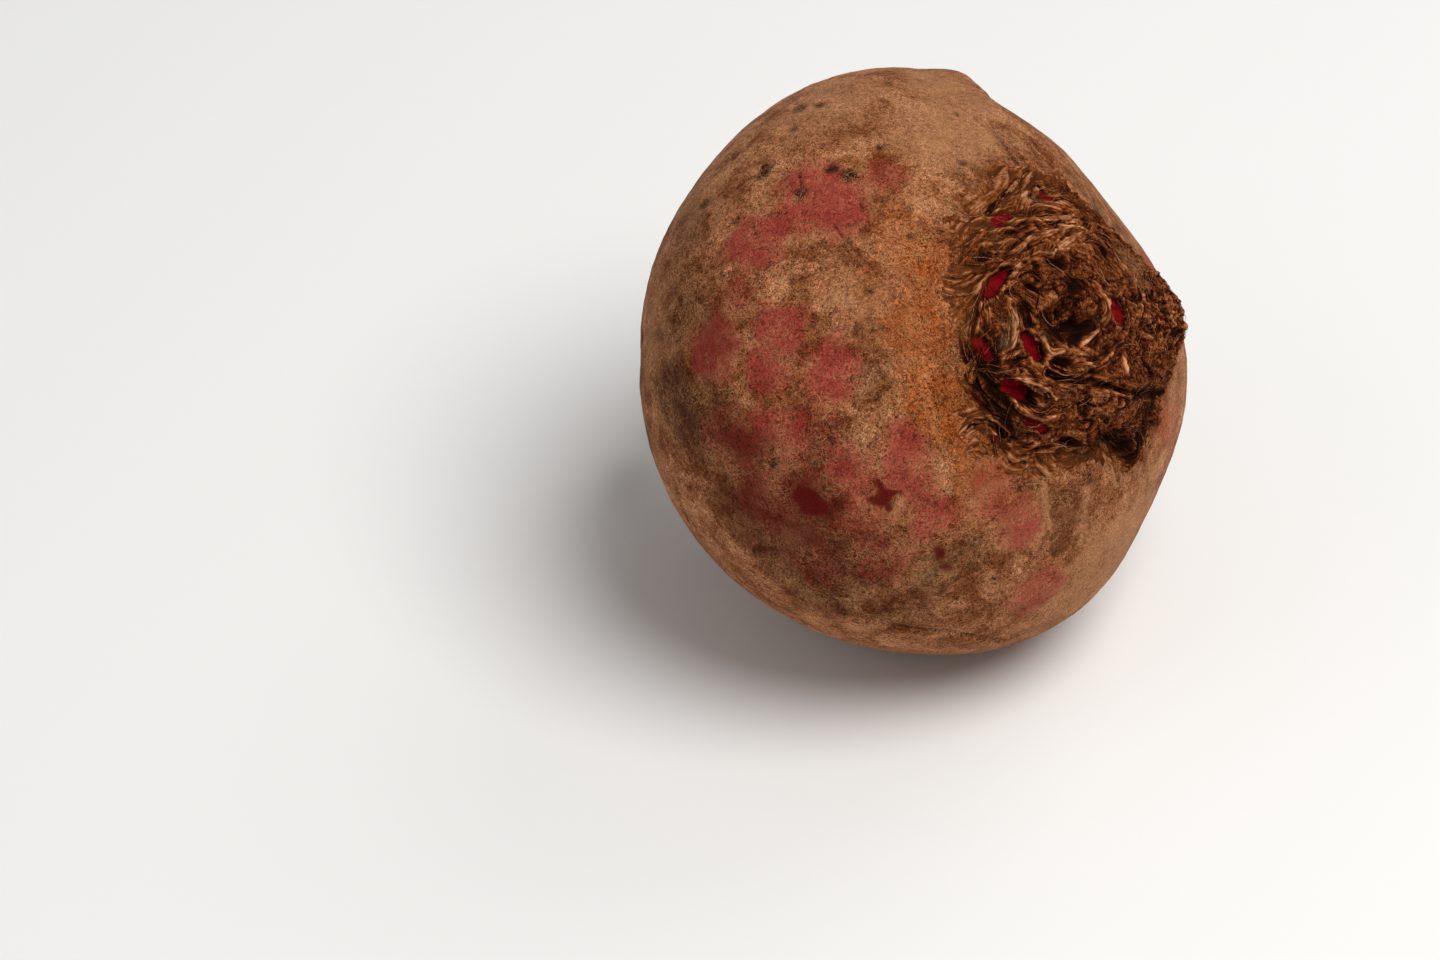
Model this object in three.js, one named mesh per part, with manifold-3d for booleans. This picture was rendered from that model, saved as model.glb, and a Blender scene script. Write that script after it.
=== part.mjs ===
// A whole beetroot, as pulled: the swollen root with its tail, and on its crown the withered
// bases of its leaf stalks. It lies on its side on a small flat spot. Millimetres, +Z up.
//
// The root is modelled about its own growing axis, which points out of the crown, and the group
// at the end tips it over and sets it down. Places on it are given by two angles: "polar" is
// measured from the growing axis (0 is the middle of the crown, 180 the tip of the tail) and
// "around" is the turn about that axis from the side that the root lies on.

import * as THREE from "three";
import { mergeVertices } from "three/addons/utils/BufferGeometryUtils.js";
import Module from "manifold-3d";

const wasm = await Module();
wasm.setup();

const DEG = Math.PI / 180;

// Driving dimensions of the root

const HALF_WIDTH = 43.8; // middle of the root to its side
const HALF_HEIGHT = 39.5; // middle of the root to its crown
const TAIL_TIP = 61; // middle of the root to the end of the tail, which is snapped off blunt
const TAIL_RADIUS = 4.4; // where the tail leaves the root
const TAIL_BEND = [-3, 5]; // how far its end is bent off the axis
const TILT = 53.2; // degrees that the growing axis leans from upright
const REST_HEIGHT = 42.5; // middle of the root above the surface it lies on
const REST_SPOT = [1.5, -0.1]; // middle of the flat spot, from below the middle of the root
const SKIN_DETAIL = 15; // splits along each edge of the icosahedron

// Swellings and hollows of the root: polar and around in degrees, how far they spread in
// degrees, and their height.
const SWELLINGS = [
  { name: "flattened shoulder", polar: 51, around: 101, spread: 19, height: -4.0 },
  { name: "knuckle", polar: 73, around: 138, spread: 4, height: 1.3 },
  { name: "drop beside the knuckle", polar: 65, around: 129, spread: 6, height: -1.9 },
  { name: "upper swell", polar: 86, around: 153, spread: 14, height: 0.7 },
  { name: "far flat", polar: 115, around: -176, spread: 14, height: -1.5 },
  { name: "hidden flat", polar: 133, around: -142, spread: 17, height: -1.5 },
  { name: "low bulge", polar: 81, around: -14, spread: 16, height: 1.4 },
  { name: "flank flat", polar: 60, around: 12, spread: 12, height: -1.5 },
  { name: "near shoulder", polar: 43, around: -118, spread: 15, height: 0.8 },
  { name: "groove below the crown", polar: 50, around: -33, spread: 5, height: -0.8 },
  { name: "cheek it lies on", polar: 133, around: -5, spread: 13, height: 1.3 },
  { name: "back hollow", polar: 104, around: 78, spread: 17, height: -1.2 },
];
const CROWN_FLAT = { height: -2.2, spread: 24 }; // the root is flattened under its crown

// Long waves over the whole root: a direction whose length sets the number of waves.
const WAVES = [
  { along: [2.1, -1.4, 0.9], phase: 0.6, height: 0.35 },
  { along: [-1.2, 2.6, 1.7], phase: 2.1, height: 0.3 },
  { along: [3.4, 1.9, -2.8], phase: 4.4, height: 0.22 },
];

// Driving dimensions of the dead leaf bases
const MAP_RADIUS = 41; // the crown map's arc lengths are taken at this radius
const STALK_GAP = 0.3; // between the root and the dead leaf bases on it
const EDGE_THICKNESS = 0.9; // where they run out on the skin
const MOUND_HEIGHT = 2.4; // their rise towards the middle of the crown
const HUSK_FOOT = 1.0; // thickness of a husk where it stands on the rest
const HUSK_LIP = 0.7; // and along its torn top
const HUSK_SINK = 1.1; // how deep its foot goes in
const HUSK_TEAR = 0.22; // unevenness of the torn top, as a share of the height
const HUSK_ROUND = 0.75; // how far its two ends drop, as a share of the height
const OUTER_DROP = 0.35; // how much lower the outermost husk is, as a share of the height
const OUTER_LEAN = 26; // degrees more that it leans out
const HUSK_SWAY = 8; // degrees that a husk's lean differs from its neighbours'
const BARE_EDGE = 0.1; // no husk stands on the outermost tenth of the crown
const LEAF_TURN = 137.5; // degrees from one leaf to the next as they grow

// The crown map: millimetres along the skin from the growing axis.
const CROWN_MIDDLE = [1.5, -2.5];
// Edge of the dead leaf bases: degrees about the crown's middle, and distance from it.
const CROWN_EDGE = [
  [12, 23], [30, 22.5], [54, 26], [84, 24.5], [114, 22.5], [150, 27],
  [202, 24], [235, 23.4], [276, 25.5], [312, 21.5], [337, 20], [355, 24],
];
// Growing points, each in a nest of husks that were the bases of its leaf stalks. A lump is the
// mass of old bases it stands on, and a pit is the hollow at its heart. The husks stand from the
// inner to the outer radius, each this high and this many degrees off upright.
const EYES = [
  {
    name: "main", at: [-2.6, -7.2], lump: 1.6, spread: 8, pit: 3.6, pitRadius: 3.2,
    husks: 15, inner: 5, outer: 17.5, turn: 62, halfWidth: 5.6, height: 2.6, lean: 14,
  },
  {
    name: "second", at: [9.5, 14], lump: 3.3, spread: 8, pit: 0, pitRadius: 1,
    husks: 9, inner: 4.5, outer: 11.5, turn: 200, halfWidth: 4.2, height: 1.5, lean: 22,
  },
  {
    name: "third", at: [12.5, -8], lump: 2.4, spread: 5.4, pit: 0, pitRadius: 1,
    husks: 5, inner: 3.6, outer: 7.5, turn: -75, halfWidth: 4, height: 1.6, lean: 24,
  },
  {
    name: "small", at: [1.8, -18.8], lump: 1.0, spread: 3.6, pit: 1.8, pitRadius: 1.6,
    husks: 4, inner: 2.8, outer: 6, turn: 40, halfWidth: 3.2, height: 1.5, lean: 20,
  },
  {
    name: "lowest", at: [12, -16.5], lump: 1.2, spread: 4, pit: 0, pitRadius: 1,
    husks: 4, inner: 2.6, outer: 6.4, turn: 10, halfWidth: 3.4, height: 1.4, lean: 30,
  },
];

// Helpers

const clamp01 = (t) => Math.min(1, Math.max(0, t));
const smooth = (t) => clamp01(t) ** 2 * (3 - 2 * clamp01(t));
const fraction = (t) => t - Math.floor(t);

// The same number between -1 and 1 for the same seed, for unevenness that never changes.
const wobble = (seed) => 2 * fraction(Math.sin(seed * 12.9898 + 4.1414) * 43758.5453) - 1;

const direction = (polar, around) =>
  new THREE.Vector3(
    Math.sin(polar * DEG) * Math.cos(around * DEG),
    Math.sin(polar * DEG) * Math.sin(around * DEG),
    Math.cos(polar * DEG),
  );

const cubic = (a, b, c, d, t) =>
  a * (1 - t) ** 3 + 3 * b * t * (1 - t) ** 2 + 3 * c * t * t * (1 - t) + d * t ** 3;

// The root's form

const swellings = SWELLINGS.map((s) => ({ ...s, toward: direction(s.polar, s.around) }));

// How far the skin stands out from the plain form in the direction u.
function relief(u) {
  let height = CROWN_FLAT.height * Math.exp(-0.5 * (Math.acos(u.z) / (CROWN_FLAT.spread * DEG)) ** 2);
  for (const s of swellings) {
    const off = Math.acos(Math.min(1, Math.max(-1, u.dot(s.toward)))) / (s.spread * DEG);
    height += s.height * Math.exp(-0.5 * off * off);
  }
  for (const w of WAVES) {
    height += w.height * Math.sin(u.x * w.along[0] + u.y * w.along[1] + u.z * w.along[2] + w.phase);
  }
  return height;
}

// The profile from crown to tail: a flattened globe, a concave nose, and the tapering tail.
// Each takes its share of the polar angles of the sphere that the skin is drawn from.
const GLOBE_END = { sphere: 138, globe: 148 };
const NOSE_END = 161;
const NOSE_REACH = 13; // how far the globe's slope carries into the nose
const NOSE_SLOPE = 9; // length over which the nose turns into the tail
const TAIL_START = 48; // middle of the root to the start of the tail proper
const TAIL_END_RADIUS = 2.6;

const globeRadius = (polar) =>
  1 / Math.hypot(Math.sin(polar * DEG) / HALF_WIDTH, Math.cos(polar * DEG) / HALF_HEIGHT);

function profile(polar) {
  if (polar <= GLOBE_END.sphere) {
    const angle = (polar * GLOBE_END.globe) / GLOBE_END.sphere;
    const r = globeRadius(angle);
    return [r * Math.sin(angle * DEG), r * Math.cos(angle * DEG)];
  }
  const [x0, z0] = profile(GLOBE_END.sphere);
  const slope = new THREE.Vector2((z0 * HALF_WIDTH ** 2) / (x0 * HALF_HEIGHT ** 2), -1).normalize();
  if (polar <= NOSE_END) {
    const t = (polar - GLOBE_END.sphere) / (NOSE_END - GLOBE_END.sphere);
    return [
      cubic(x0, x0 + NOSE_REACH * slope.x, TAIL_RADIUS, TAIL_RADIUS, t),
      cubic(z0, z0 + NOSE_REACH * slope.y, NOSE_SLOPE - TAIL_START, -TAIL_START, t),
    ];
  }
  const t = (polar - NOSE_END) / (180 - NOSE_END);
  return [
    cubic(TAIL_RADIUS, TAIL_RADIUS, TAIL_END_RADIUS, 0, t),
    cubic(-TAIL_START, -TAIL_START - NOSE_SLOPE, -TAIL_TIP, -TAIL_TIP, t),
  ];
}

const lyingSide = new THREE.Vector3(Math.sin(TILT * DEG), 0, -Math.cos(TILT * DEG));

// The point of the skin for a direction of the sphere, standing out by a further height.
function skinPoint(u, lift = 0) {
  const polar = Math.acos(Math.min(1, Math.max(-1, u.z))) / DEG;
  const [x, z] = profile(polar);
  const turn = Math.atan2(u.y, u.x);
  const point = new THREE.Vector3(x * Math.cos(turn), x * Math.sin(turn), z);
  const out = point.clone().normalize();
  const fade = 1 - smooth((polar - GLOBE_END.sphere) / (NOSE_END - GLOBE_END.sphere));
  point.addScaledVector(out, relief(out) * fade + lift);
  const down = smooth((-z - HALF_HEIGHT) / (TAIL_TIP - HALF_HEIGHT));
  point.x += TAIL_BEND[0] * down;
  point.y += TAIL_BEND[1] * down;
  const depth = point.dot(lyingSide) - REST_HEIGHT;
  if (depth > 0) point.addScaledVector(lyingSide, -depth);
  return point;
}

function rootGeometry() {
  const sphere = new THREE.IcosahedronGeometry(1, SKIN_DETAIL);
  sphere.rotateX(Math.atan(2 / (1 + Math.sqrt(5)))); // a corner on the axis, for the tail's tip
  const geometry = mergedPositions(sphere);
  const position = geometry.getAttribute("position");
  const u = new THREE.Vector3();
  for (let i = 0; i < position.count; i++) {
    const point = skinPoint(u.fromBufferAttribute(position, i).normalize());
    position.setXYZ(i, point.x, point.y, point.z);
  }
  return geometry;
}

// The dead leaf bases

// The point over the crown at a place of the crown map, this high above the skin.
function crownPoint(x, y, height) {
  const polar = Math.hypot(x, y) / MAP_RADIUS;
  const turn = Math.atan2(y, x);
  const sphere = (polar * GLOBE_END.sphere) / GLOBE_END.globe;
  const u = new THREE.Vector3(
    Math.sin(sphere) * Math.cos(turn),
    Math.sin(sphere) * Math.sin(turn),
    Math.cos(sphere),
  );
  return skinPoint(u, height);
}

// The outline of the leaf bases on the crown map, from the crown's middle.
const edgeCurve = new THREE.CatmullRomCurve3(
  CROWN_EDGE.map(([a, r]) => new THREE.Vector3(r * Math.cos(a * DEG), r * Math.sin(a * DEG), 0)),
  true,
);

// Height of the leaf bases at a place of the crown map, where share is 0 in the middle of the
// crown and 1 at its edge. The mound and the lumps rise over these shares from the edge.
const MOUND_RISE = 0.8;
const LUMP_RISE = 0.25;

function crownHeight(x, y, share) {
  const inside = 1 - share;
  let height = EDGE_THICKNESS + MOUND_HEIGHT * smooth(inside / MOUND_RISE);
  for (const eye of EYES) {
    const d = Math.hypot(x - eye.at[0], y - eye.at[1]);
    height += eye.lump * Math.exp(-((d / eye.spread) ** 2)) * smooth(inside / LUMP_RISE);
    height -= eye.pit * Math.exp(-((d / eye.pitRadius) ** 4));
  }
  return Math.max(height, EDGE_THICKNESS);
}

// The mat that the husks stand on: one closed skin, top and underside joined at a ragged edge.
const TOP_RINGS = 14;
const UNDERSIDE_RINGS = 5;
const MAT_SPOKES = 56;
const EDGE_TEAR = 0.05; // unevenness of the mat's edge, as a share of its radius

function matGeometry() {
  const rim = edgeCurve.getSpacedPoints(MAT_SPOKES).slice(0, MAT_SPOKES);
  const positions = [];
  const index = [];
  const layer = (rings, heightAt, facing) => {
    const first = positions.length / 3;
    for (let ring = 0; ring <= rings; ring++) {
      const share = ring / rings;
      rim.forEach((edge, spoke) => {
        const ragged = share * (1 + EDGE_TEAR * wobble(spoke + 1) * share ** 3);
        const x = CROWN_MIDDLE[0] + edge.x * ragged;
        const y = CROWN_MIDDLE[1] + edge.y * ragged;
        positions.push(...crownPoint(x, y, heightAt(x, y, share)));
      });
    }
    for (let ring = 0; ring < rings; ring++) {
      for (let spoke = 0; spoke < MAT_SPOKES; spoke++) {
        const next = (spoke + 1) % MAT_SPOKES;
        const [a, b] = [first + ring * MAT_SPOKES + spoke, first + ring * MAT_SPOKES + next];
        const [c, d] = [a + MAT_SPOKES, b + MAT_SPOKES];
        if (ring > 0) index.push(...(facing > 0 ? [a, d, b] : [a, b, d]));
        index.push(...(facing > 0 ? [a, c, d] : [a, d, c]));
      }
    }
    return first + rings * MAT_SPOKES;
  };
  const above = layer(TOP_RINGS, (x, y, share) => STALK_GAP + crownHeight(x, y, share), 1);
  const below = layer(UNDERSIDE_RINGS, () => STALK_GAP, -1);
  for (let spoke = 0; spoke < MAT_SPOKES; spoke++) {
    const next = (spoke + 1) % MAT_SPOKES;
    index.push(above + spoke, below + spoke, below + next);
    index.push(above + spoke, below + next, above + next);
  }
  return closed(positions, index);
}

// One husk: a wall that bends round its growing point, leans out and is torn along its top.
const HUSK_STEPS = 6;
const HUSK_LEVELS = 2;

function huskGeometry(eye, turn, radius, height, lean, seed) {
  const halfAngle = eye.halfWidth / radius;
  const positions = [];
  for (const side of [1, -1]) {
    for (let level = 0; level <= HUSK_LEVELS; level++) {
      for (let step = 0; step <= HUSK_STEPS; step++) {
        const across = (2 * step) / HUSK_STEPS - 1;
        const angle = turn + across * halfAngle;
        const torn = 1 + HUSK_TEAR * wobble(seed * 31 + step);
        const top = height * (1 - HUSK_ROUND * across ** 4) * torn;
        const up = level / HUSK_LEVELS;
        const rise = up * (top + HUSK_SINK) - HUSK_SINK;
        const thick = (HUSK_FOOT + (HUSK_LIP - HUSK_FOOT) * up) / Math.cos(lean * DEG);
        const out = radius + Math.tan(lean * DEG) * Math.max(rise, 0) + (side * thick) / 2;
        const x = eye.at[0] + out * Math.cos(angle);
        const y = eye.at[1] + out * Math.sin(angle);
        const floor = STALK_GAP + crownHeight(x, y, shareOfCrown(x, y));
        const lowest = STALK_GAP + EDGE_THICKNESS * (0.35 + 0.25 * level);
        positions.push(...crownPoint(x, y, Math.max(floor + rise, lowest)));
      }
    }
  }
  const index = [];
  const row = HUSK_STEPS + 1;
  const back = row * (HUSK_LEVELS + 1);
  const quad = (a, b, c, d) => index.push(a, b, c, a, c, d);
  for (let level = 0; level < HUSK_LEVELS; level++) {
    for (let step = 0; step < HUSK_STEPS; step++) {
      const a = level * row + step;
      quad(a, a + 1, a + 1 + row, a + row);
      quad(back + a, back + a + row, back + a + 1 + row, back + a + 1);
    }
    const start = level * row;
    const end = start + HUSK_STEPS;
    quad(start, start + row, back + start + row, back + start);
    quad(end, back + end, back + end + row, end + row);
  }
  const top = HUSK_LEVELS * row;
  for (let step = 0; step < HUSK_STEPS; step++) {
    quad(step + 1, step, back + step, back + step + 1);
    quad(top + step, top + step + 1, back + top + step + 1, back + top + step);
  }
  return closed(positions, index);
}

// How far out a place of the crown map lies: 0 in the middle of the crown, 1 at its edge.
const edgePoints = edgeCurve.getSpacedPoints(360);

function shareOfCrown(x, y) {
  const dx = x - CROWN_MIDDLE[0];
  const dy = y - CROWN_MIDDLE[1];
  const turn = Math.atan2(dy, dx);
  const off = (p) => 1 - Math.cos(turn - Math.atan2(p.y, p.x));
  const edge = edgePoints.reduce((best, p) => (off(p) < off(best) ? p : best));
  return Math.hypot(dx, dy) / Math.hypot(edge.x, edge.y);
}

// Husks follow one another by the leaf's turn, each a little further out than the last.
function husksOf(eye, eyeNumber) {
  const made = [];
  for (let n = 0; n < eye.husks; n++) {
    const seed = eyeNumber * 100 + n;
    const along = n / (eye.husks - 1);
    const turn = (eye.turn + n * LEAF_TURN) * DEG;
    const radius = eye.inner + (eye.outer - eye.inner) * along;
    const x = eye.at[0] + radius * Math.cos(turn);
    const y = eye.at[1] + radius * Math.sin(turn);
    if (shareOfCrown(x, y) > 1 - BARE_EDGE) continue;
    const height = eye.height * (1 - OUTER_DROP * along) * (1 + HUSK_TEAR * wobble(seed));
    const lean = eye.lean + OUTER_LEAN * along + HUSK_SWAY * wobble(seed + 50);
    made.push(huskGeometry(eye, turn, radius, height, lean, seed));
  }
  return made;
}

// Solids

function mergedPositions(source) {
  const bare = source.clone();
  bare.deleteAttribute("normal");
  bare.deleteAttribute("uv");
  return mergeVertices(bare, 1e-5);
}

function closed(positions, index) {
  const geometry = new THREE.BufferGeometry();
  geometry.setAttribute("position", new THREE.Float32BufferAttribute(positions, 3));
  geometry.setIndex(index);
  return mergeVertices(geometry, 1e-4);
}

const solidOf = (geometry) =>
  new wasm.Manifold(
    new wasm.Mesh({
      numProp: 3,
      vertProperties: geometry.getAttribute("position").array,
      triVerts: new Uint32Array(geometry.index.array),
    }),
  );

function geometryOf(solid) {
  const mesh = solid.getMesh();
  const geometry = new THREE.BufferGeometry();
  geometry.setAttribute("position", new THREE.BufferAttribute(mesh.vertProperties, 3));
  geometry.setIndex(new THREE.BufferAttribute(mesh.triVerts, 1));
  return geometry;
}

function leafBasesGeometry() {
  const mat = solidOf(matGeometry());
  const husks = EYES.flatMap(husksOf).map(solidOf);
  return geometryOf(husks.reduce((whole, husk) => whole.add(husk), mat));
}

// The part

const skin = new THREE.MeshStandardMaterial({ color: 0x94603f, roughness: 0.75, metalness: 0 });
const witheredStalk = new THREE.MeshStandardMaterial({ color: 0x5a3018, roughness: 0.9, metalness: 0 });

const root = new THREE.Mesh(rootGeometry(), skin);
root.name = "root";

const leafBases = new THREE.Mesh(leafBasesGeometry(), witheredStalk);
leafBases.name = "leaf_bases";

const beetroot = new THREE.Group();
beetroot.add(root, leafBases);
beetroot.rotation.y = TILT * DEG;
beetroot.position.set(-REST_SPOT[0], -REST_SPOT[1], REST_HEIGHT);

export default beetroot;
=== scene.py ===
import functools
import itertools
import math
from collections import namedtuple
import bpy
import numpy as np
from bpy.props import FloatProperty, FloatVectorProperty, IntProperty, PointerProperty
from mathutils import Matrix, Vector


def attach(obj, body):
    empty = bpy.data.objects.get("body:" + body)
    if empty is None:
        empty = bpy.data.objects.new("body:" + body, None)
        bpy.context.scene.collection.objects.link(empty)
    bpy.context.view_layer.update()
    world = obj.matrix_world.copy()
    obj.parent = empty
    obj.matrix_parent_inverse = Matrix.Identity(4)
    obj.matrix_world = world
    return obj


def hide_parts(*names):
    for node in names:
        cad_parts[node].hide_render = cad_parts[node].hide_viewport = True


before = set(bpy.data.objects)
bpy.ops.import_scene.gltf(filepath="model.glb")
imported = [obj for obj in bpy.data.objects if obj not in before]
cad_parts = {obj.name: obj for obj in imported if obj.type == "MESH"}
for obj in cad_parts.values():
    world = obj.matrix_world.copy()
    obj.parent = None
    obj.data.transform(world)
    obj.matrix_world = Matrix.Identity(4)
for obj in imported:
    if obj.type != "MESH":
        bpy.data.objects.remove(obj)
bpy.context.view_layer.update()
bl_info = {
    "name": "Beetroot",
    "version": (1, 0, 0),
    "blender": (4, 5, 0),
    "location": "3D View > Sidebar > Beetroot",
    "description": "Dresses a packed beetroot: corky skin, torn crown of withered stalks, tail and stage",
    "category": "Object",
}

# All lengths below are millimetres and all angles degrees, unless a comment says otherwise.
# The root's own axes: +Z from the middle of the swollen root through the growing point of the
# crown, and the tail towards -Z. A direction is a polar angle from that axis and a turn round it.

# Driving sizes of the root, the same as those of the solids in the frame

HALF_WIDTH = 43.8
HALF_HEIGHT = 39.5
TAIL_TIP = 61.0
TAIL_RADIUS = 4.4
TAIL_BEND = (-3.0, 5.0)
TILT = 53.2  # the growing axis off the vertical, as the beetroot lies
REST_HEIGHT = 42.5  # middle of the root above the surface it lies on
REST_SPOT = (1.5, -0.1)
MEAN_RADIUS = 43.0
Swelling = namedtuple("Swelling", "polar around spread height")
SWELLINGS = (
    Swelling(51, 101, 19, -4.0),  # flattened shoulder
    Swelling(73, 138, 4, 1.3),  # knuckle
    Swelling(65, 129, 6, -1.9),  # drop beside the knuckle
    Swelling(86, 153, 14, 0.7),  # upper swell
    Swelling(115, -176, 14, -1.5),  # far flat
    Swelling(133, -142, 17, -1.5),  # hidden flat
    Swelling(81, -14, 16, 1.4),  # low bulge
    Swelling(60, 12, 12, -1.5),  # flank flat
    Swelling(43, -118, 15, 0.8),  # near shoulder
    Swelling(50, -33, 5, -0.8),  # groove below the crown
    Swelling(133, -5, 13, 1.3),  # cheek it lies on
    Swelling(104, 78, 17, -1.2),  # back hollow
)
CROWN_FLAT_HEIGHT = -2.2
CROWN_FLAT_SPREAD = 24.0
WAVES = (
    ((2.1, -1.4, 0.9), 0.6, 0.35),
    ((-1.2, 2.6, 1.7), 2.1, 0.3),
    ((3.4, 1.9, -2.8), 4.4, 0.22),
)
GLOBE_END = 138.0  # polar angle on the drawing sphere where the globe ends
GLOBE_REACH = 148.0  # and the globe's own angle there
NOSE_END = 161.0
NOSE_REACH = 13.0
NOSE_SLOPE = 9.0
TAIL_START = 48.0
TAIL_END_RADIUS = 2.6

# The crown map: millimetres along the skin from the growing axis

MAP_RADIUS = 41.0
CROWN_MIDDLE = (1.5, -2.5)
CROWN_EDGE = (
    (12, 23.0), (30, 22.5), (54, 26.0), (84, 24.5), (114, 22.5), (150, 27.0),
    (202, 24.0), (235, 23.4), (276, 25.5), (312, 21.5), (337, 20.0), (355, 24.0),
)
STALK_GAP = 0.3
EDGE_THICKNESS = 0.9
MOUND_HEIGHT = 2.4
MOUND_RISE = 0.8
LUMP_RISE = 0.25
LEAF_TURN = 137.5
Eye = namedtuple(
    "Eye", "at lump spread pit pit_radius husks inner outer turn half_width height lean"
)
EYES = (
    Eye((-2.6, -7.2), 1.6, 8.0, 3.6, 3.2, 15, 5.0, 17.5, 62, 5.6, 2.6, 14),
    Eye((9.5, 14.0), 3.3, 8.0, 0.0, 1.0, 9, 4.5, 11.5, 200, 4.2, 1.5, 22),
    Eye((12.5, -8.0), 2.4, 5.4, 0.0, 1.0, 5, 3.6, 7.5, -75, 4.0, 1.6, 24),
    Eye((1.8, -18.8), 1.0, 3.6, 1.8, 1.6, 4, 2.8, 6.0, 40, 3.2, 1.5, 20),
    Eye((12.0, -16.5), 1.2, 4.0, 0.0, 1.0, 4, 2.6, 6.4, 10, 3.4, 1.4, 30),
)

# Marks on the skin: polar, around, radius in millimetres along the skin, strength from 0 to 1

ROSE_MARKS = (
    (74.5, -145.4, 4.8, 1.0), (65.1, -156.3, 6.2, 1.0), (59.8, -151.7, 3.8, 0.9),
    (53.5, -164.2, 4.0, 0.45), (83.8, -125.5, 4.2, 1.0), (69.0, -126.2, 3.6, 0.95),
    (73.1, -119.5, 3.0, 0.8), (60.8, -114.4, 4.5, 0.95), (73.6, -106.5, 4.4, 0.7),
    (64.9, -93.4, 4.4, 0.6), (52.7, -91.7, 3.4, 0.8), (56.3, -84.1, 3.8, 0.75),
    (57.0, -74.5, 4.0, 0.7), (46.2, -66.7, 4.2, 0.5), (47.3, -50.3, 3.8, 0.8),
    (63.3, -34.1, 4.6, 0.6), (35.1, -171.2, 2.2, 0.35), (78.0, -134.0, 3.0, 0.4),
    (38.0, 18.3, 3.4, 0.3), (80.0, -95.0, 7.0, 0.35), (82.0, -78.0, 6.0, 0.25),
    (70.0, -72.0, 5.0, 0.35), (82.8, -106.9, 6.0, 0.4), (76.0, -98.0, 5.0, 0.35),
    (46.5, -54.0, 4.6, 0.6), (68.0, -84.0, 5.0, 0.4), (66.0, -103.0, 4.0, 0.35),
    (45.0, 22.0, 4.0, 0.4),
)
# The broad, weak marks low on the side towards the camera, at 87 -92, 82.8 -106.9 and 83.8 -126.5, turn
# the painted shade there dark red.
CRIMSON_MARKS = (
    (75.7, -91.2, 2.3, 1.25), (75.7, -91.2, 4.4, 0.55), (79.8, -85.5, 3.4, 0.55),
    (87.0, -92.0, 7.0, 0.45), (83.8, -126.5, 4.2, 0.5), (82.8, -106.9, 4.5, 0.5),
    (62.0, -85.3, 1.3, 1.3), (60.3, -83.9, 0.6, 1.1), (63.7, -86.7, 0.6, 1.1),
    (60.8, -87.5, 0.6, 1.1), (63.3, -83.1, 0.6, 1.1), (62.0, -65.2, 1.1, 0.9),
    (62.8, -60.7, 0.9, 0.7),
)
STAIN_MARKS = (
    (53.3, -110.7, 4.6, 0.85), (57.9, -60.1, 4.6, 0.8), (64.8, -61.3, 5.4, 0.9),
    (92.9, -140.1, 4.5, 0.6), (92.6, -148.4, 4.0, 0.6), (66.0, -75.0, 4.0, 0.45),
    (58.0, -100.0, 3.6, 0.5), (84.0, -160.0, 3.6, 0.4),
)
# Darker skin, and painted shade: the large marks low on the side towards the camera, at polar angles of
# about 65 to 100 and turns of about -55 to -135, darken that side's lower part as if it lay in shadow.
DARK_SKIN_AND_PAINTED_SHADE_MARKS = (
    (91.1, -112.5, 9.0, 0.9), (78.8, -58.0, 8.0, 0.7), (88.0, -92.0, 9.0, 0.8),
    (38.6, -35.5, 3.4, 0.7), (41.0, -40.7, 3.2, 0.6), (90.0, -133.0, 7.0, 0.7),
    (86.0, -70.0, 8.0, 0.8), (40.0, 150.0, 5.0, 0.5), (36.0, 175.0, 4.0, 0.4),
    (78.0, -145.0, 4.0, 0.5), (71.0, -60.0, 6.0, 0.5), (64.0, -97.0, 5.0, 0.4),
    (52.0, -122.0, 4.0, 0.4), (97.2, -117.5, 6.0, 1.2), (87.4, -80.7, 8.0, 0.8),
    (67.5, -100.0, 5.0, 0.9), (82.0, -103.0, 8.0, 0.8), (75.9, -75.8, 8.0, 0.9),
    (76.5, -90.7, 6.0, 0.9), (83.0, -88.0, 8.0, 0.8), (93.7, -150.9, 6.0, 0.65),
    (33.4, 110.0, 3.5, 0.8), (36.9, 124.4, 3.5, 0.6), (39.7, 88.4, 4.0, 0.7), (47.9, -34.1, 2.2, 0.5),
    (50.0, -33.0, 1.8, 0.9), (44.0, -38.5, 2.0, 0.3), (38.5, -60.0, 2.4, 1.1),
    (40.5, -33.0, 1.6, 0.6), (46.0, -30.0, 1.4, 0.5), (36.0, -150.0, 3.0, 0.5),
    (37.0, -113.0, 3.0, 0.5), (52.0, -32.6, 1.9, 1.3),
)
ORANGE_MARKS = (
    (39.5, -141.0, 5.5, 0.8), (41.5, -121.0, 6.5, 0.9), (41.0, -99.4, 6.5, 1.0),
    (40.0, -77.0, 6.0, 1.0), (39.0, 16.0, 5.0, 0.7), (44.0, -62.0, 5.0, 0.5),
    (50.0, -132.0, 5.0, 0.5), (50.0, -66.0, 5.0, 0.5), (46.5, -150.4, 5.0, 0.6),
)
PALE_MARKS = (
    (49.8, -159.2, 7.0, 0.35), (47.6, -124.4, 6.5, 0.5), (43.0, -163.6, 6.5, 0.2),
    (60.2, -11.0, 11.0, 1.0), (43.8, 3.9, 5.0, 0.6), (55.0, -140.0, 6.0, 0.4),
    (58.0, -128.0, 5.0, 0.35), (50.0, 170.0, 9.0, 1.0), (76.0, 175.0, 9.0, 0.8),
    (70.0, -20.0, 9.0, 0.6), (62.0, 150.0, 8.0, 1.2), (49.5, 148.9, 5.0, 0.35),
    (43.8, -72.4, 4.0, 0.7), (39.7, 28.4, 4.0, 0.6), (51.1, -130.1, 5.0, 0.7),
    (104.0, -132.7, 7.0, 0.6), (95.0, -160.0, 7.0, 0.5), (46.0, -51.0, 5.0, 0.8),
    (41.5, -49.5, 2.4, 0.6), (57.0, -22.0, 5.0, 0.9), (50.0, -22.0, 3.6, 0.7),
)
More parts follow.
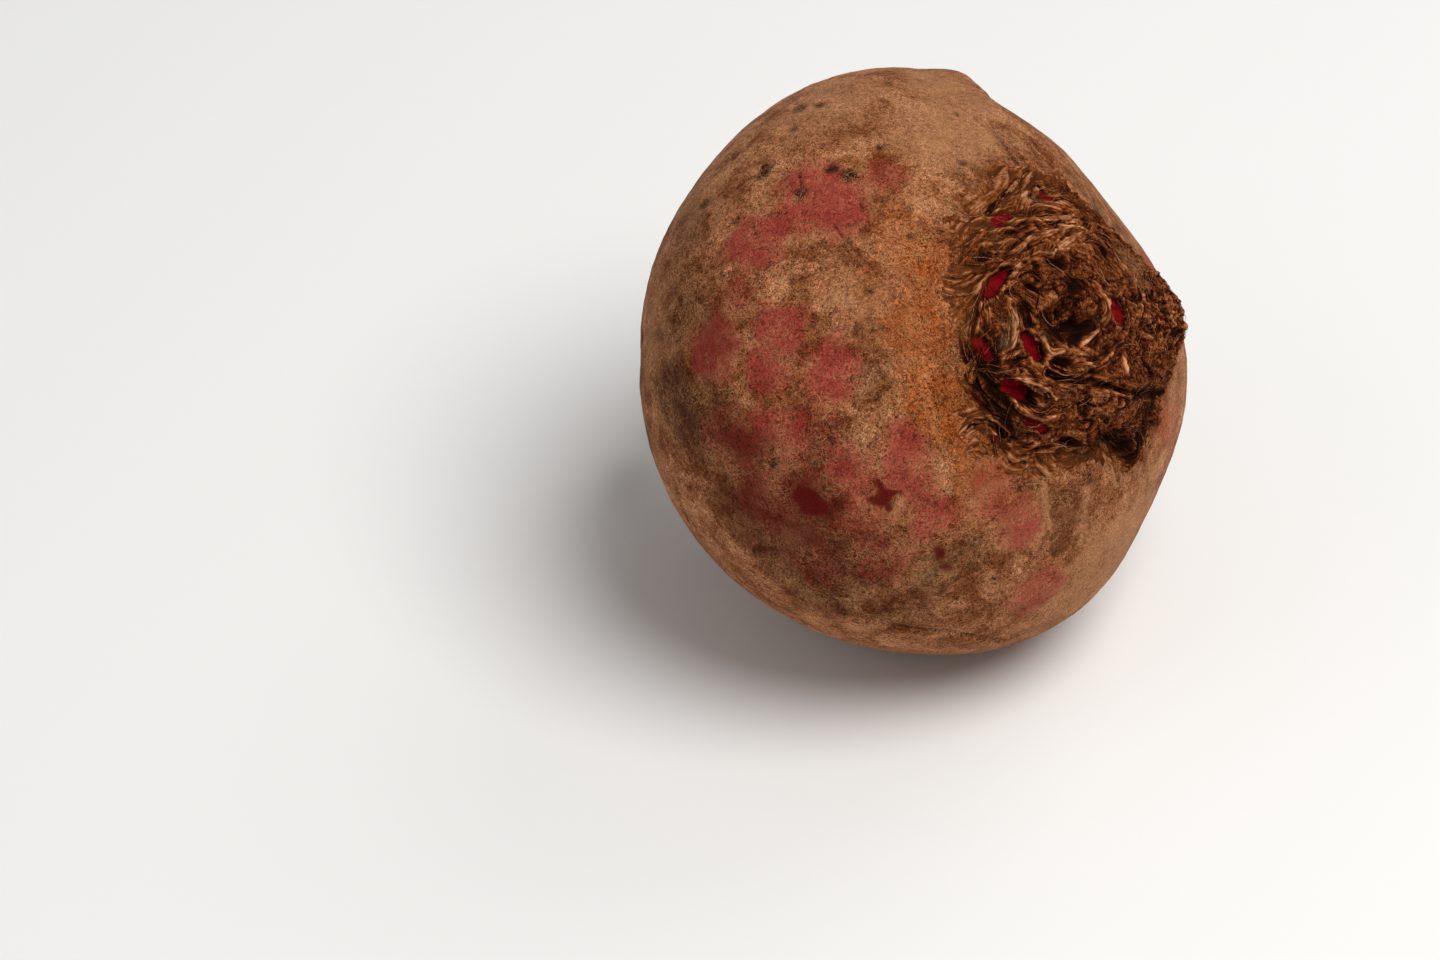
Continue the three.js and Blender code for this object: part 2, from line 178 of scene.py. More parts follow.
# Pits and scars: polar, around, radius, depth
SKIN_PITS = (
    (81.7, 177.9, 1.4, 0.45), (77.0, 176.7, 1.0, 0.35), (89.6, -168.5, 0.9, 0.3),
    (78.9, -161.7, 1.4, 0.5), (91.5, -156.8, 1.3, 0.4), (60.4, -163.4, 1.5, 0.45),
    (64.2, -164.0, 1.2, 0.4), (57.5, -174.6, 0.8, 0.25), (68.6, -156.1, 1.5, 0.2),
    (84.0, 176.0, 0.6, 0.2), (73.5, -151.4, 0.8, 0.2),
)
# Cracks and wrinkles: points as polar and around, then width, depth (less than 0 where the skin
# is drawn up into a ridge with pale papery edges) and darkness
SKIN_CREASES = (
    (((59.0, -148.9), (56.6, -145.5), (53.0, -141.4)), 0.4, 0.28, 0.9),
    (((53.0, -141.4), (49.8, -138.1), (46.8, -133.9)), 0.4, 0.22, 0.6),
    (((77.3, -150.4), (75.1, -147.1), (73.5, -144.2)), 0.36, 0.22, 0.7),
    (((70.2, -162.0), (67.8, -156.8)), 0.36, 0.22, 0.8),
    (((57.1, -157.1), (54.9, -154.0)), 0.4, 0.22, 0.8),
    (((84.1, -158.6), (80.8, -161.0), (77.3, -163.8)), 0.6, 0.3, 0.8),
    (((36.1, -153.8), (35.6, -145.0), (34.2, -135.5)), 0.45, 0.4, 0.6),
    (((37.5, -122.1), (38.9, -113.4), (41.6, -98.7)), 0.4, 0.35, 0.5),
    (((65.0, -139.9), (62.0, -140.6), (59.6, -138.3)), 0.36, 0.2, 0.7),
    (((51.9, -122.6), (50.3, -118.5)), 0.36, 0.2, 0.7),
    (((65.3, -101.5), (64.5, -98.2)), 0.36, 0.2, 0.7),
    (((47.6, -160.2), (45.7, -156.3)), 0.36, 0.2, 0.6),
    (((87.1, -135.0), (84.9, -132.1)), 0.4, 0.2, 0.7),
    (((87.3, -63.4), (84.5, -55.0), (80.1, -45.9), (79.6, -37.0), (80.7, -29.4)), 0.8, 0.4, 0.6),
    (((83.6, -63.7), (81.7, -60.6), (77.6, -57.8)), 0.45, 0.25, 0.6),
    (((85.0, -78.0), (87.0, -70.0), (89.5, -60.0)), 0.8, 0.3, 0.5),
    (((67.0, 146.0), (66.5, 139.0), (68.0, 132.0)), 0.7, 0.45, 0.8),
    (((62.0, 162.0), (60.5, 152.0), (62.0, 141.0)), 0.8, 0.3, 0.4),
    (((38.0, -33.0), (41.5, -30.8), (46.5, -28.6), (52.4, -27.2)), 0.35, -0.4, 0.0),
    (((35.0, -56.0), (41.6, -48.2), (49.2, -39.0)), 0.3, -0.3, 0.0),
    (((31.7, -26.6), (35.5, -22.0), (39.5, -18.1)), 0.35, -0.5, 0.0),
)
# Film of old stalk fibres that spreads from the crown over the skin: as the marks
FILM_MARKS = (
    (37.2, -178.5, 4.5, 0.8), (37.5, 165.3, 4.0, 0.6), (38.3, -162.5, 4.0, 0.7),
    (35.0, 146.8, 4.0, 0.6), (38.0, -148.9, 3.2, 0.5), (40.2, -44.6, 4.5, 0.7),
    (37.5, -33.8, 4.5, 0.7), (48.1, -34.1, 3.6, 0.9), (38.6, -56.7, 4.0, 0.5),
    (37.5, -20.2, 4.5, 0.7), (39.9, -3.5, 3.5, 0.7), (30.9, 132.7, 3.4, 0.6), (29.9, 111.8, 3.0, 0.6),
    (53.3, -31.5, 2.0, 0.9), (44.3, -71.7, 3.4, 0.4), (36.4, -129.3, 2.6, 0.4),
    (44.9, -89.9, 2.6, 0.4), (44.6, -27.4, 3.6, 0.5), (43.2, -39.2, 3.2, 1.6),
    (47.9, -34.8, 2.8, 1.8), (51.5, -32.4, 2.2, 1.8), (38.0, 30.0, 4.0, 0.5), (38.0, 60.0, 4.0, 0.6),
    (37.0, 88.0, 3.6, 0.5), (45.5, -37.0, 2.6, 1.7),
)
# Each kind of mark: its places, how soft its edges are, and what is strewn on the side away from
# the camera, as clusters, marks in each, and the range of their radii and strengths
SKIN_MARKS = {
    "rose": (ROSE_MARKS, 0.55, (8, 4, (2.0, 6.0), (0.4, 1.0))),
    "crimson": (CRIMSON_MARKS, 0.7, (3, 3, (0.8, 2.2), (0.6, 1.0))),
    "stain": (STAIN_MARKS, 0.6, (9, 3, (1.5, 5.0), (0.3, 0.8))),
    "dark": (DARK_SKIN_AND_PAINTED_SHADE_MARKS, 0.7, (10, 2, (4.0, 8.0), (0.2, 0.6))),
    "pale": (PALE_MARKS, 0.7, (8, 2, (5.0, 10.0), (0.3, 0.6))),
    "orange": (ORANGE_MARKS, 0.6, None),
    "film": (FILM_MARKS, 0.7, None),
}
# The two opposite furrows in which a beet's side roots grow
ROOT_FURROWS = (
    ((88.0, 40.0), (104.0, 46.0), (122.0, 44.0), (140.0, 52.0), (156.0, 50.0)),
    ((98.0, -128.0), (110.0, -134.0), (124.0, -130.0), (140.0, -138.0), (156.0, -136.0)),
)
FURROW_WIDTH = 2.0  # from a furrow's middle to where it has nearly run out
FURROW_DEPTH = 0.5

# Relief of the crown: ridges and creases as lines on the crown map, with their half width, height
# (creases go down), and how much lighter or darker they are. The creases' darkness is painted shade.

Line = namedtuple("Line", "points width height tone")
CROWN_LINES = (
    Line(((-18.5, -5.5), (-17.5, -0.8), (-14.0, 4.0), (-10.0, 9.2), (-5.5, 16.0)), 0.42, 0.48, 0.09),
    Line(((-15.2, -6.8), (-15.0, -2.5), (-13.0, 2.2), (-10.8, 6.0), (-7.5, 7.8), (-5.2, 7.5)),
         0.42, 0.56, 0.09),
    Line(((-11.2, -2.5), (-11.0, 1.0), (-10.0, 6.2)), 0.42, 0.56, 0.27),
    Line(((-13.5, -8.8), (-13.2, -5.5), (-11.8, -2.0)), 0.38, 0.48, 0.12),
    Line(((-14.5, -17.8), (-14.8, -12.8), (-14.5, -8.0)), 0.51, 0.4, 0.18),
    Line(((-18.2, -17.8), (-17.0, -15.2), (-16.8, -12.8)), 0.3, 0.24, 0.18),
    Line(((-4.0, -0.5), (-1.2, 0.0), (0.8, -1.8), (1.2, -6.2), (1.2, -8.0)), 0.38, 0.8, 0.24),
    Line(((-10.2, -13.2), (-7.8, -14.8), (-5.2, -17.5), (-4.0, -20.0)), 1.02, 0.72, 0.21),
    Line(((-3.2, -13.2), (-1.2, -13.5), (-0.2, -12.0)), 0.51, 0.64, 0.18),
    Line(((1.8, -14.5), (2.5, -10.8), (4.2, -8.8)), 0.34, 0.48, 0.18),
    Line(((3.5, -14.5), (5.0, -11.5), (7.8, -8.8), (10.8, -6.2), (13.5, -3.0)), 0.3, 0.4, 0.18),
    Line(((-2.5, -21.5), (-0.5, -19.2), (2.2, -17.0), (4.8, -16.2)), 0.34, 0.64, 0.09),
    Line(((0.8, -21.8), (3.5, -21.2), (6.0, -19.2), (6.8, -17.5)), 0.34, 0.64, 0.18),
    Line(((1.0, -30.5), (0.5, -28.5), (1.0, -26.0), (3.8, -24.8), (5.5, -24.2)), 0.34, 0.64, 0.18),
    Line(((2.0, -30.8), (2.0, -28.8), (2.5, -26.8), (5.2, -25.8), (7.2, -24.5), (9.0, -21.5)),
         0.42, 0.56, 0.12),
    Line(((5.0, -7.2), (5.8, -1.2)), 0.26, 0.4, 0.24),
    Line(((7.0, -2.8), (8.8, -3.5)), 0.26, 0.4, 0.24),
    Line(((-22.0, 10.6), (-21.0, 7.0), (-19.0, 0.8)), 0.35, 0.7, 0.22),
    Line(((16.2, -10.8), (24.0, -8.8)), 0.3, 0.24, 0.24),
    Line(((1.2, -15.2), (4.2, -12.6), (6.8, -9.4), (10.0, -6.4), (12.8, -3.4), (19.8, 6.8)),
         0.6, -1.3, -0.42),
    Line(((-22.2, -3.8), (-22.4, 2.4), (-22.0, 10.0)), 0.45, -0.7, -0.6),
    Line(((-2.2, -23.4), (0.6, -20.6), (3.4, -19.4)), 0.7, -1.3, -0.5),
    Line(((1.6, -29.6), (1.3, -27.6), (2.6, -25.8), (5.0, -25.0)), 0.4, -0.8, -0.6),
    Line(((2.5, -29.0), (5.2, -27.2), (10.0, -25.8), (11.5, -24.2)), 0.35, -0.6, -0.5),
    Line(((11.2, -17.5), (16.2, -13.2), (15.5, -9.5), (23.5, -4.8), (22.8, -2.5), (20.5, -2.0)),
         0.8, -1.0, -0.5),
    Line(((-5.0, -10.5), (-2.8, -10.6), (-0.8, -8.4), (0.2, -4.6)), 1.4, -1.6, -0.5),
    Line(((-7.0, -23.0), (-3.8, -24.0), (0.5, -23.2)), 1.1, -1.1, -0.5),
    Line(((-8.2, -12.5), (-6.2, -13.5)), 0.7, -1.1, -0.6),
    Line(((0.5, -13.2), (1.6, -12.2)), 0.8, -1.2, -0.6),
    Line(((-10.4, -3.4), (-9.4, -2.6)), 0.8, -1.2, -0.7),
    Line(((-10.2, -9.4), (-9.4, -9.0)), 0.6, -1.0, -0.6),
    Line(((-5.9, -3.8), (-5.0, -2.8)), 0.9, -1.0, -0.6),
)
COMB_REACH = 2.6  # how far from such a line the fibres still turn along it
COMB_PULL = 1.6  # how strongly, beside their turn round the growing points

# Light and dark parts of the crown: place on the crown map, reach and how much lighter or darker. Many of
# the dark ones are painted shade in crevices and under overhangs.
CROWN_SHADES = (
    (-1.8, -7.8, 3.0, 0.08), (-7.0, -4.6, 2.8, -0.2), (-8.0, -15.2, 1.8, 0.2),
    (-8.0, -8.0, 2.5, 0.12), (-12.0, 3.0, 5.0, 0.26), (-6.5, 8.5, 3.0, -0.12), (-2.5, 7.0, 2.5, 0.14),
    (-18.5, -1.0, 2.5, -0.12), (-2.0, 11.0, 3.5, 0.12), (0.0, 15.0, 3.5, 0.1),
    (9.0, 17.0, 4.0, -0.14), (14.0, 14.0, 4.0, -0.08), (9.0, 9.0, 5.0, 0.06), (8.0, -9.5, 4.0, 0.1),
    (12.0, -6.0, 3.0, 0.05), (15.0, -13.0, 3.0, -0.12), (18.0, -13.6, 3.0, -0.24),
    (-8.5, -20.5, 2.5, -0.2), (-4.0, -22.5, 3.0, -0.26), (2.0, -22.5, 2.5, -0.2),
    (5.0, -26.0, 3.0, -0.16), (10.5, -12.5, 3.0, 0.06), (-10.0, 6.5, 4.0, 0.06),
    (-15.0, 1.0, 3.0, 0.02), (18.0, 0.0, 3.0, -0.26), (23.0, -4.0, 3.4, -0.12),
    (19.0, -9.0, 3.0, -0.2), (-6.0, -21.0, 3.0, -0.16), (-1.0, -24.0, 3.0, -0.18),
    (13.0, -22.0, 3.5, 0.2), (-21.0, 2.0, 6.0, 0.08), (-19.0, -9.0, 4.0, 0.02),
    (-11.0, -18.0, 2.4, 0.08), (4.0, 2.0, 4.0, -0.05), (4.0, -2.0, 3.0, 0.04), (6.0, 4.0, 4.0, 0.12),
    (-12.0, -20.0, 3.0, -0.12), (-8.4, -24.6, 3.0, -0.16), (-21.5, -1.0, 2.4, -0.12),
)

# Parts of the crown where fibres lie combed side by side, the others being crumbly, and parts with
# grey dust: place on the crown map, reach and amount
COMBED_PARTS = (
    (-14.0, 5.0, 7.0, 0.9), (-20.0, -4.0, 6.0, 0.8), (-13.0, -17.0, 5.5, 0.8), (2.0, -26.0, 7.0, 1.0),
    (1.0, -3.0, 1.6, 0.5), (-6.0, 10.0, 5.0, 0.8), (-22.0, 8.0, 6.0, 0.9), (14.0, -20.0, 5.0, 0.6),
    (-2.0, -20.0, 4.0, 0.7), (6.0, -4.0, 3.0, 0.4),
)
DUSTY_PARTS = (
    (-8.0, -15.3, 1.8, 0.8), (-6.0, -17.8, 1.6, 0.7), (-2.5, 11.5, 3.2, 0.6), (1.0, 13.5, 3.4, 0.5),
    (2.0, 9.0, 2.0, 0.5), (-18.5, 4.0, 2.4, 0.6), (5.5, -14.5, 2.6, 0.45), (10.0, -10.5, 3.0, 0.3),
    (-3.5, -12.7, 1.4, 0.5), (0.6, -2.6, 1.4, 0.5), (-16.0, -8.0, 2.5, 0.3), (17.0, 2.0, 2.5, 0.4),
    (5.5, -22.0, 1.6, 0.5), (14.0, 20.0, 4.0, 0.3),
)

# Where the crown's edge thins out slowly: turn, spread and how much
SLOW_EDGES = ((178.0, 42.0, 1.0), (-50.0, 18.0, 0.7))

# Gaps between the husks, where living crimson tissue shows: place on the crown map, half length,
# half width, turn, depth and how crimson it is
Gap = namedtuple("Gap", "x y length width turn depth crimson")
CROWN_GAPS = (
    Gap(-20.2, -2.9, 1.8, 1.0, 73, 0.7, 1.0), Gap(-17.4, 7.9, 2.1, 0.7, 4, 0.7, 0.7),
    Gap(-13.6, -12.5, 3.5, 1.1, 96, 1.0, 0.75), Gap(-7.4, -20.8, 3.0, 1.2, 0, 1.2, 0.5),
    Gap(-3.4, -14.9, 2.4, 1.1, -3, 1.1, 1.0), Gap(1.7, 1.3, 2.3, 1.5, -16, 0.9, 0.7),
    Gap(0.5, -20.2, 3.0, 1.3, 20, 1.2, 1.0), Gap(6.4, -20.5, 2.2, 0.7, 34, 0.7, 0.9),
    Gap(1.2, -13.5, 1.6, 0.6, 27, 0.8, 0.4), Gap(-1.5, -25.8, 2.6, 0.5, 10, 0.6, 0.4),
    Gap(5.2, -26.4, 1.3, 0.6, 17, 0.6, 0.35), Gap(8.0, 9.0, 1.6, 0.5, 120, 0.5, 0.2),
)

# How finely and from where the pieces are worked out

RANDOM_SEED = 7
NOISE_CELLS = 48  # after this many swings a noise repeats
UP = np.array([0.0, 0.0, 1.0])
LYING_SIDE = np.array([math.sin(math.radians(TILT)), 0.0, -math.cos(math.radians(TILT))])
CAMERA_SIDE = np.array([-0.274, -0.652, 0.707])  # from the root towards the camera, in its own axes
FIELD_STEP = 0.15  # between the grid points of the crown map
FIELD_REACH = 36.0  # from the middle of that grid to its sides
HUSK_SPACING = 2.4  # from one torn husk's edge to the next one out
HUSK_STEP = 0.34  # how far a husk's edge stands above the one outside it
LEAST_HEIGHT = 0.45  # floor of the deepest gap, so that the skin stays covered
SUNK = -0.9  # how far the mat's edge goes under the skin
MAT_SPREAD = 1.2  # where that edge is, as a share of the way to the crown's edge
MAT_SUNK_MIDDLE = 5.0  # how deep under the skin the mat's underside comes to a point
COMB_FIELDS = ("comb_across", "comb_along", "comb_aside")
THREAD_WIDTH = 0.035  # as a share of the range of the noise that draws the threads
FLAP_ACROSS = 26  # points across a husk
FLAP_UP = 12  # and up it
FLAP_SINK = 0.9  # how deep its foot is in the mat
BARE_EDGE = 0.1  # share of the crown at its edge where no husks stand
STRAND_POINTS = 14
STRAND_STEP = 0.4  # the longest step from one point of a loose fibre to the next
ROOTLET_POINTS = 12

# The stage: the camera's turn and rise seen from the root, and its sensor in millimetres

CAMERA_TURN = 31.7
CAMERA_RISE = 40.0
SENSOR = 36.0
# The middle of the root in the photograph's frame of 1440 x 960 pixels, and the frame's middle
ROOT_PIXEL = (912.0, 360.0)
FRAME_MIDDLE = (720.0, 480.0)
FRAME_WIDTH = 1440.0
FLOOR_SIZE = 6.0  # in metres
# Name, turn and rise seen from the root, distance and size in metres, power in watts
LIGHTS = (
    ("key_softbox", 84.0, 62.0, 1.1, 0.7, 10.0),
    ("fill_softbox", -35.0, 35.0, 1.3, 1.0, 1.2),
    ("back_softbox", 170.0, 40.0, 1.2, 0.8, 2.4),
)


# Helpers for form and unevenness

def smooth(t):
    """Rises from 0 to 1 as t does, level at both ends."""
    t = np.clip(t, 0.0, 1.0)
    return t * t * (3.0 - 2.0 * t)


def bell(t):
    """1 at t = 0, falling away to both sides."""
    return np.exp(-t * t)


def unit(vectors):
    """The vectors at length 1."""
    return vectors / (np.linalg.norm(vectors, axis=-1, keepdims=True) + 1e-9)


def direction(polar, around):
    """Unit vector of a direction given by its polar angle and turn, in the root's own axes."""
    p, a = np.radians(polar), np.radians(around)
    return np.stack([np.sin(p) * np.cos(a), np.sin(p) * np.sin(a), np.cos(p)], axis=-1)


def direction_of(vector):
    """Polar angle and turn of a vector."""
    x, y, z = unit(vector)
    return math.degrees(math.acos(z)), math.degrees(math.atan2(y, x))


def angle_between(u, axis):
    """Degrees between each direction in u and one other."""
    return np.degrees(np.arccos(np.clip(u @ axis, -1.0, 1.0)))


def noise(points, size, seed):
    """Smooth noise from -1 to 1 whose swings are about `size` wide, the same for the same seed."""
    rng = np.random.default_rng(RANDOM_SEED * 1000 + seed)
    lattice = rng.uniform(-1.0, 1.0, (NOISE_CELLS,) * 3)
    turn = np.linalg.qr(rng.normal(size=(3, 3)))[0]
    place = points @ turn / size + rng.uniform(0.0, NOISE_CELLS, 3)
    cell = np.floor(place).astype(int)
    part = smooth(place - cell)
    total = np.zeros(len(points))
    for corner in itertools.product((0, 1), repeat=3):
        weight = np.prod(np.where(corner, part, 1.0 - part), axis=1)
        i, j, k = ((cell + corner) % NOISE_CELLS).T
        total += weight * lattice[i, j, k]
    return total


def layered_noise(points, size, seed, layers=3):
    """Noise with finer and weaker noise on it, each layer half as wide and half as strong."""
    total = sum(noise(points, size / 2**n, seed + n) / 2**n for n in range(layers))
    return total / (2.0 - 0.5 ** (layers - 1))


def smooth_line(points, steps=6):
    """A curve through the given points, as more points along it."""
    p = np.array([points[0], *points, points[-1]], dtype=float)
    out = []
    for a, b, c, d in zip(p, p[1:], p[2:], p[3:]):
        for t in np.arange(steps) / steps:
            out.append(0.5 * (2 * b + (c - a) * t + (2 * a - 5 * b + 4 * c - d) * t**2
                              + (3 * b - a - 3 * c + d) * t**3))
    return np.array([*out, p[-1]])


def nearest_on(places, line):
    """How far each place is from a line of points, the line's own direction there, and how far
    along the line that is."""
    best = np.full(len(places), np.inf)
    run = np.zeros_like(places)
    along = np.zeros(len(places))
    passed = 0.0
    for start, end in zip(line, line[1:]):
        step = end - start
        stretch = np.linalg.norm(step)
        share = np.clip((places - start) @ step / stretch**2, 0.0, 1.0)
        away = np.linalg.norm(places - start - share[:, None] * step, axis=1)
        nearer = away < best
        best[nearer] = away[nearer]
        run[nearer] = step / stretch
        along[nearer] = passed + share[nearer] * stretch
        passed += stretch
    return best, run, along


# The root's form

def relief(u):
    """How far the skin stands out from the plain form, in each direction u."""
    height = CROWN_FLAT_HEIGHT * np.exp(-0.5 * (angle_between(u, UP) / CROWN_FLAT_SPREAD) ** 2)
    for s in SWELLINGS:
        off = angle_between(u, direction(s.polar, s.around)) / s.spread
        height += s.height * np.exp(-0.5 * off**2)
    for along, phase, high in WAVES:
        height += high * np.sin(u @ np.array(along) + phase)
    return height


def cubic(a, b, c, d, t):
    """A cubic curve from a to d, pulled towards b and c."""
    return a * (1 - t) ** 3 + 3 * b * t * (1 - t) ** 2 + 3 * c * t * t * (1 - t) + d * t**3


def globe_at(angle):
    """Radius and height of the plain globe at an angle from the growing axis."""
    sine, cosine = np.sin(np.radians(angle)), np.cos(np.radians(angle))
    reach = 1.0 / np.hypot(sine / HALF_WIDTH, cosine / HALF_HEIGHT)
    return reach * sine, reach * cosine


def profile(polar):
    """Radius and height of the plain form: globe, then concave nose, then tail."""
    radius, height = globe_at(np.minimum(polar, GLOBE_END) * GLOBE_REACH / GLOBE_END)
    x0, z0 = globe_at(GLOBE_REACH)
    slope = np.array([z0 * HALF_WIDTH**2 / (x0 * HALF_HEIGHT**2), -1.0])
    slope /= np.linalg.norm(slope)
    nose = np.clip((polar - GLOBE_END) / (NOSE_END - GLOBE_END), 0.0, 1.0)
    tail = np.clip((polar - NOSE_END) / (180.0 - NOSE_END), 0.0, 1.0)
    nose_radius = cubic(x0, x0 + NOSE_REACH * slope[0], TAIL_RADIUS, TAIL_RADIUS, nose)
    nose_height = cubic(z0, z0 + NOSE_REACH * slope[1], NOSE_SLOPE - TAIL_START, -TAIL_START, nose)
    tail_radius = cubic(TAIL_RADIUS, TAIL_RADIUS, TAIL_END_RADIUS, 0.0, tail)
    tail_height = cubic(-TAIL_START, -TAIL_START - NOSE_SLOPE, -TAIL_TIP, -TAIL_TIP, tail)
    stretches = [polar <= GLOBE_END, polar <= NOSE_END]
    return (np.select(stretches, [radius, nose_radius], tail_radius),
            np.select(stretches, [height, nose_height], tail_height))


def laid_down(points):
    """The points, with what would reach below the surface pressed level with it."""
    depth = np.maximum(points @ LYING_SIDE - REST_HEIGHT, 0.0)
    return points - depth[:, None] * LYING_SIDE


def skin_points(u, lift=0.0):
    """Points of the skin in the directions u, each raised by lift, in the root's own axes."""
    polar = angle_between(u, UP)
    radius, height = profile(polar)
    turn = np.arctan2(u[:, 1], u[:, 0])
    points = np.stack([radius * np.cos(turn), radius * np.sin(turn), height], axis=1)
    out = unit(points)
    fade = 1.0 - smooth((polar - GLOBE_END) / (NOSE_END - GLOBE_END))
    points += out * (relief(out) * fade + lift)[:, None]
    down = smooth((-points[:, 2] - HALF_HEIGHT) / (TAIL_TIP - HALF_HEIGHT))
    points[:, :2] += down[:, None] * TAIL_BEND
    return laid_down(points)


def crown_points(x, y, height):
    """Points at a height above the skin, at places x, y of the crown map."""
    polar = np.degrees(np.hypot(x, y) / MAP_RADIUS) * GLOBE_END / GLOBE_REACH
    u = direction(polar, np.degrees(np.arctan2(y, x)))
    return skin_points(u.reshape(-1, 3), np.ravel(height)).reshape(*np.shape(x), 3)


def crown_share(x, y):
    """Distance from the crown's middle, as a share of the distance to its edge that way."""
    dx, dy = x - CROWN_MIDDLE[0], y - CROWN_MIDDLE[1]
    return np.hypot(dx, dy) / edge_radius(np.degrees(np.arctan2(dy, dx)))


def edge_radius(turn):
    """How far the crown's edge is from its middle, at a turn round it."""
    ring = [(a + lap, r) for lap in (-360, 0, 360) for a, r in CROWN_EDGE]
    line = smooth_line(ring)
    return np.interp((turn + 180.0) % 360.0 - 180.0, line[:, 0], line[:, 1])


def to_row(points):
    """From the root's own axes in millimetres to the frame's in metres."""
    c, s = math.cos(math.radians(TILT)), math.sin(math.radians(TILT))
    turned = points @ np.array([[c, 0.0, s], [0.0, 1.0, 0.0], [-s, 0.0, c]]).T
    return (turned + (-REST_SPOT[0], -REST_SPOT[1], REST_HEIGHT)) * 0.001


# The crown's own map of heights and colours, on an even grid

FIELD_LINE = np.arange(-FIELD_REACH, FIELD_REACH + FIELD_STEP / 2, FIELD_STEP)
FIELD_X, FIELD_Y = (g.ravel() for g in np.meshgrid(FIELD_LINE, FIELD_LINE, indexing="ij"))
FIELD_PLACES = np.stack([FIELD_X, FIELD_Y], axis=1)
FIELD_POINTS = np.stack([FIELD_X, FIELD_Y, np.zeros_like(FIELD_X)], axis=1)


def read_field(field, x, y):
    """Values of a field of the crown map at any places, between its grid points."""
    side = len(FIELD_LINE)
    grid = field.reshape(side, side)
    i = np.clip((x + FIELD_REACH) / FIELD_STEP, 0, side - 1.001)
    j = np.clip((y + FIELD_REACH) / FIELD_STEP, 0, side - 1.001)
    i0, j0 = i.astype(int), j.astype(int)
    a, b = i - i0, j - j0
    return ((1 - a) * ((1 - b) * grid[i0, j0] + b * grid[i0, j0 + 1])
            + a * ((1 - b) * grid[i0 + 1, j0] + b * grid[i0 + 1, j0 + 1]))


def uneven(size, seed):
    """Smooth noise at each grid point of the crown map."""
    return noise(FIELD_POINTS, size, seed)


def blurred(field, reach):
    """The field averaged over about that many millimetres."""
    side = len(FIELD_LINE)
    grid = field.reshape(side, side)
    wave = np.fft.fftfreq(side, FIELD_STEP)
    waves = np.fft.rfftfreq(side, FIELD_STEP)
    keep = np.exp(-2.0 * (math.pi * reach) ** 2 * (wave[:, None] ** 2 + waves[None, :] ** 2))
    return np.fft.irfft2(np.fft.rfft2(grid) * keep, s=grid.shape).ravel()


@functools.lru_cache(maxsize=None)
def line_places():
    """For each drawn line of the crown, how far each grid point is from it, and the line's run."""
    return [nearest_on(FIELD_PLACES, smooth_line(line.points)) for line in CROWN_LINES]


@functools.lru_cache(maxsize=None)
def fibre_run():
    """Which way the fibres run at each grid point: round each growing point, along the drawn
    lines, and with some tangle."""
    run = np.zeros_like(FIELD_PLACES)
    for eye in EYES:
        off = FIELD_PLACES - eye.at
        away = np.linalg.norm(off, axis=1) + 0.01
        pull = 1.0 / (1.0 + (away / (0.6 * eye.outer)) ** 2) ** 2
        run += np.stack([-off[:, 1], off[:, 0]], axis=1) * (pull / away)[:, None]
    for away, along, _ in line_places():
        sense = np.sign(np.sum(along * run, axis=1))
        run += along * (sense * COMB_PULL * bell(away / COMB_REACH))[:, None]
    turned = np.arctan2(run[:, 1], run[:, 0]) + 0.8 * uneven(6.0, 11) + 0.5 * uneven(2.6, 12)
    return np.cos(turned), np.sin(turned)


def combed(grain, reach):
    """Smears a fine grain along the run of the fibres, into fibres of about that reach."""
    run_x, run_y = fibre_run()
    total = grain.copy()
    for way in (FIELD_STEP, -FIELD_STEP):
        x, y = FIELD_X.copy(), FIELD_Y.copy()
        for _ in range(int(reach / 2 / FIELD_STEP)):
            step_x, step_y = read_field(run_x, x, y), read_field(run_y, x, y)
            x += way * step_x
            y += way * step_y
            total += read_field(grain, x, y)
    return (total - total.mean()) / total.std()


def crown_height(share):
    """Height of the mass of old leaf bases above the skin, as in the solid."""
    inside = 1.0 - share
    height = STALK_GAP + EDGE_THICKNESS + MOUND_HEIGHT * smooth(inside / MOUND_RISE)
    for eye in EYES:
        away = np.linalg.norm(FIELD_PLACES - eye.at, axis=1)
        height += eye.lump * bell(away / eye.spread) * smooth(inside / LUMP_RISE)
        height -= eye.pit * np.exp(-((away / eye.pit_radius) ** 4))
    return np.maximum(height, STALK_GAP + EDGE_THICKNESS)


def husk_terraces():
    """Edges of husk behind husk, winding outwards round each growing point."""
    height = np.zeros_like(FIELD_X)
    sway = 0.8 * uneven(5.0, 21) + 0.28 * uneven(1.8, 22)
    for eye in EYES:
        off = FIELD_PLACES - eye.at
        away = np.linalg.norm(off, axis=1)
        turn = np.arctan2(off[:, 1], off[:, 0]) / (2.0 * math.pi)
        climb = (away / HUSK_SPACING - turn + sway) % 1.0
        edge = smooth(climb / 0.18) * (1.0 - climb) ** 0.8
        near = np.exp(-((away / (1.15 * eye.outer)) ** 4)) * smooth(away / 2.5)
        height = np.maximum(height, edge * near)
    return HUSK_STEP * height * smooth((uneven(3.4, 23) + 0.15) / 0.6)


def gap_relief(coarse):
    """Height, tone and crimson that the gaps between the husks give each grid point."""
    height, tone, crimson = np.zeros((3, len(FIELD_X)))
    ragged = 0.2 * uneven(1.3, 38) + 0.05 * coarse
    for gap in CROWN_GAPS:
        turn = math.radians(gap.turn)
        dx, dy = FIELD_X - gap.x, FIELD_Y - gap.y
        along = (dx * math.cos(turn) + dy * math.sin(turn)) / gap.length
        across = (dy * math.cos(turn) - dx * math.sin(turn)) / gap.width
        out = np.hypot(along, across) + ragged
        lip = bell((out - 1.35) / 0.25)
        height += 0.22 * lip - gap.depth * (1.0 - smooth((out - 0.75) / 0.35))
        # The lip is painted lighter and the wall just inside it darker, as painted light and shade.
        tone += 0.08 * lip - 0.25 * bell((out - 0.95) / 0.2)
        crimson = np.maximum(crimson, gap.crimson * (1.0 - smooth((out - 0.7) / 0.35)))
    return height, tone, crimson


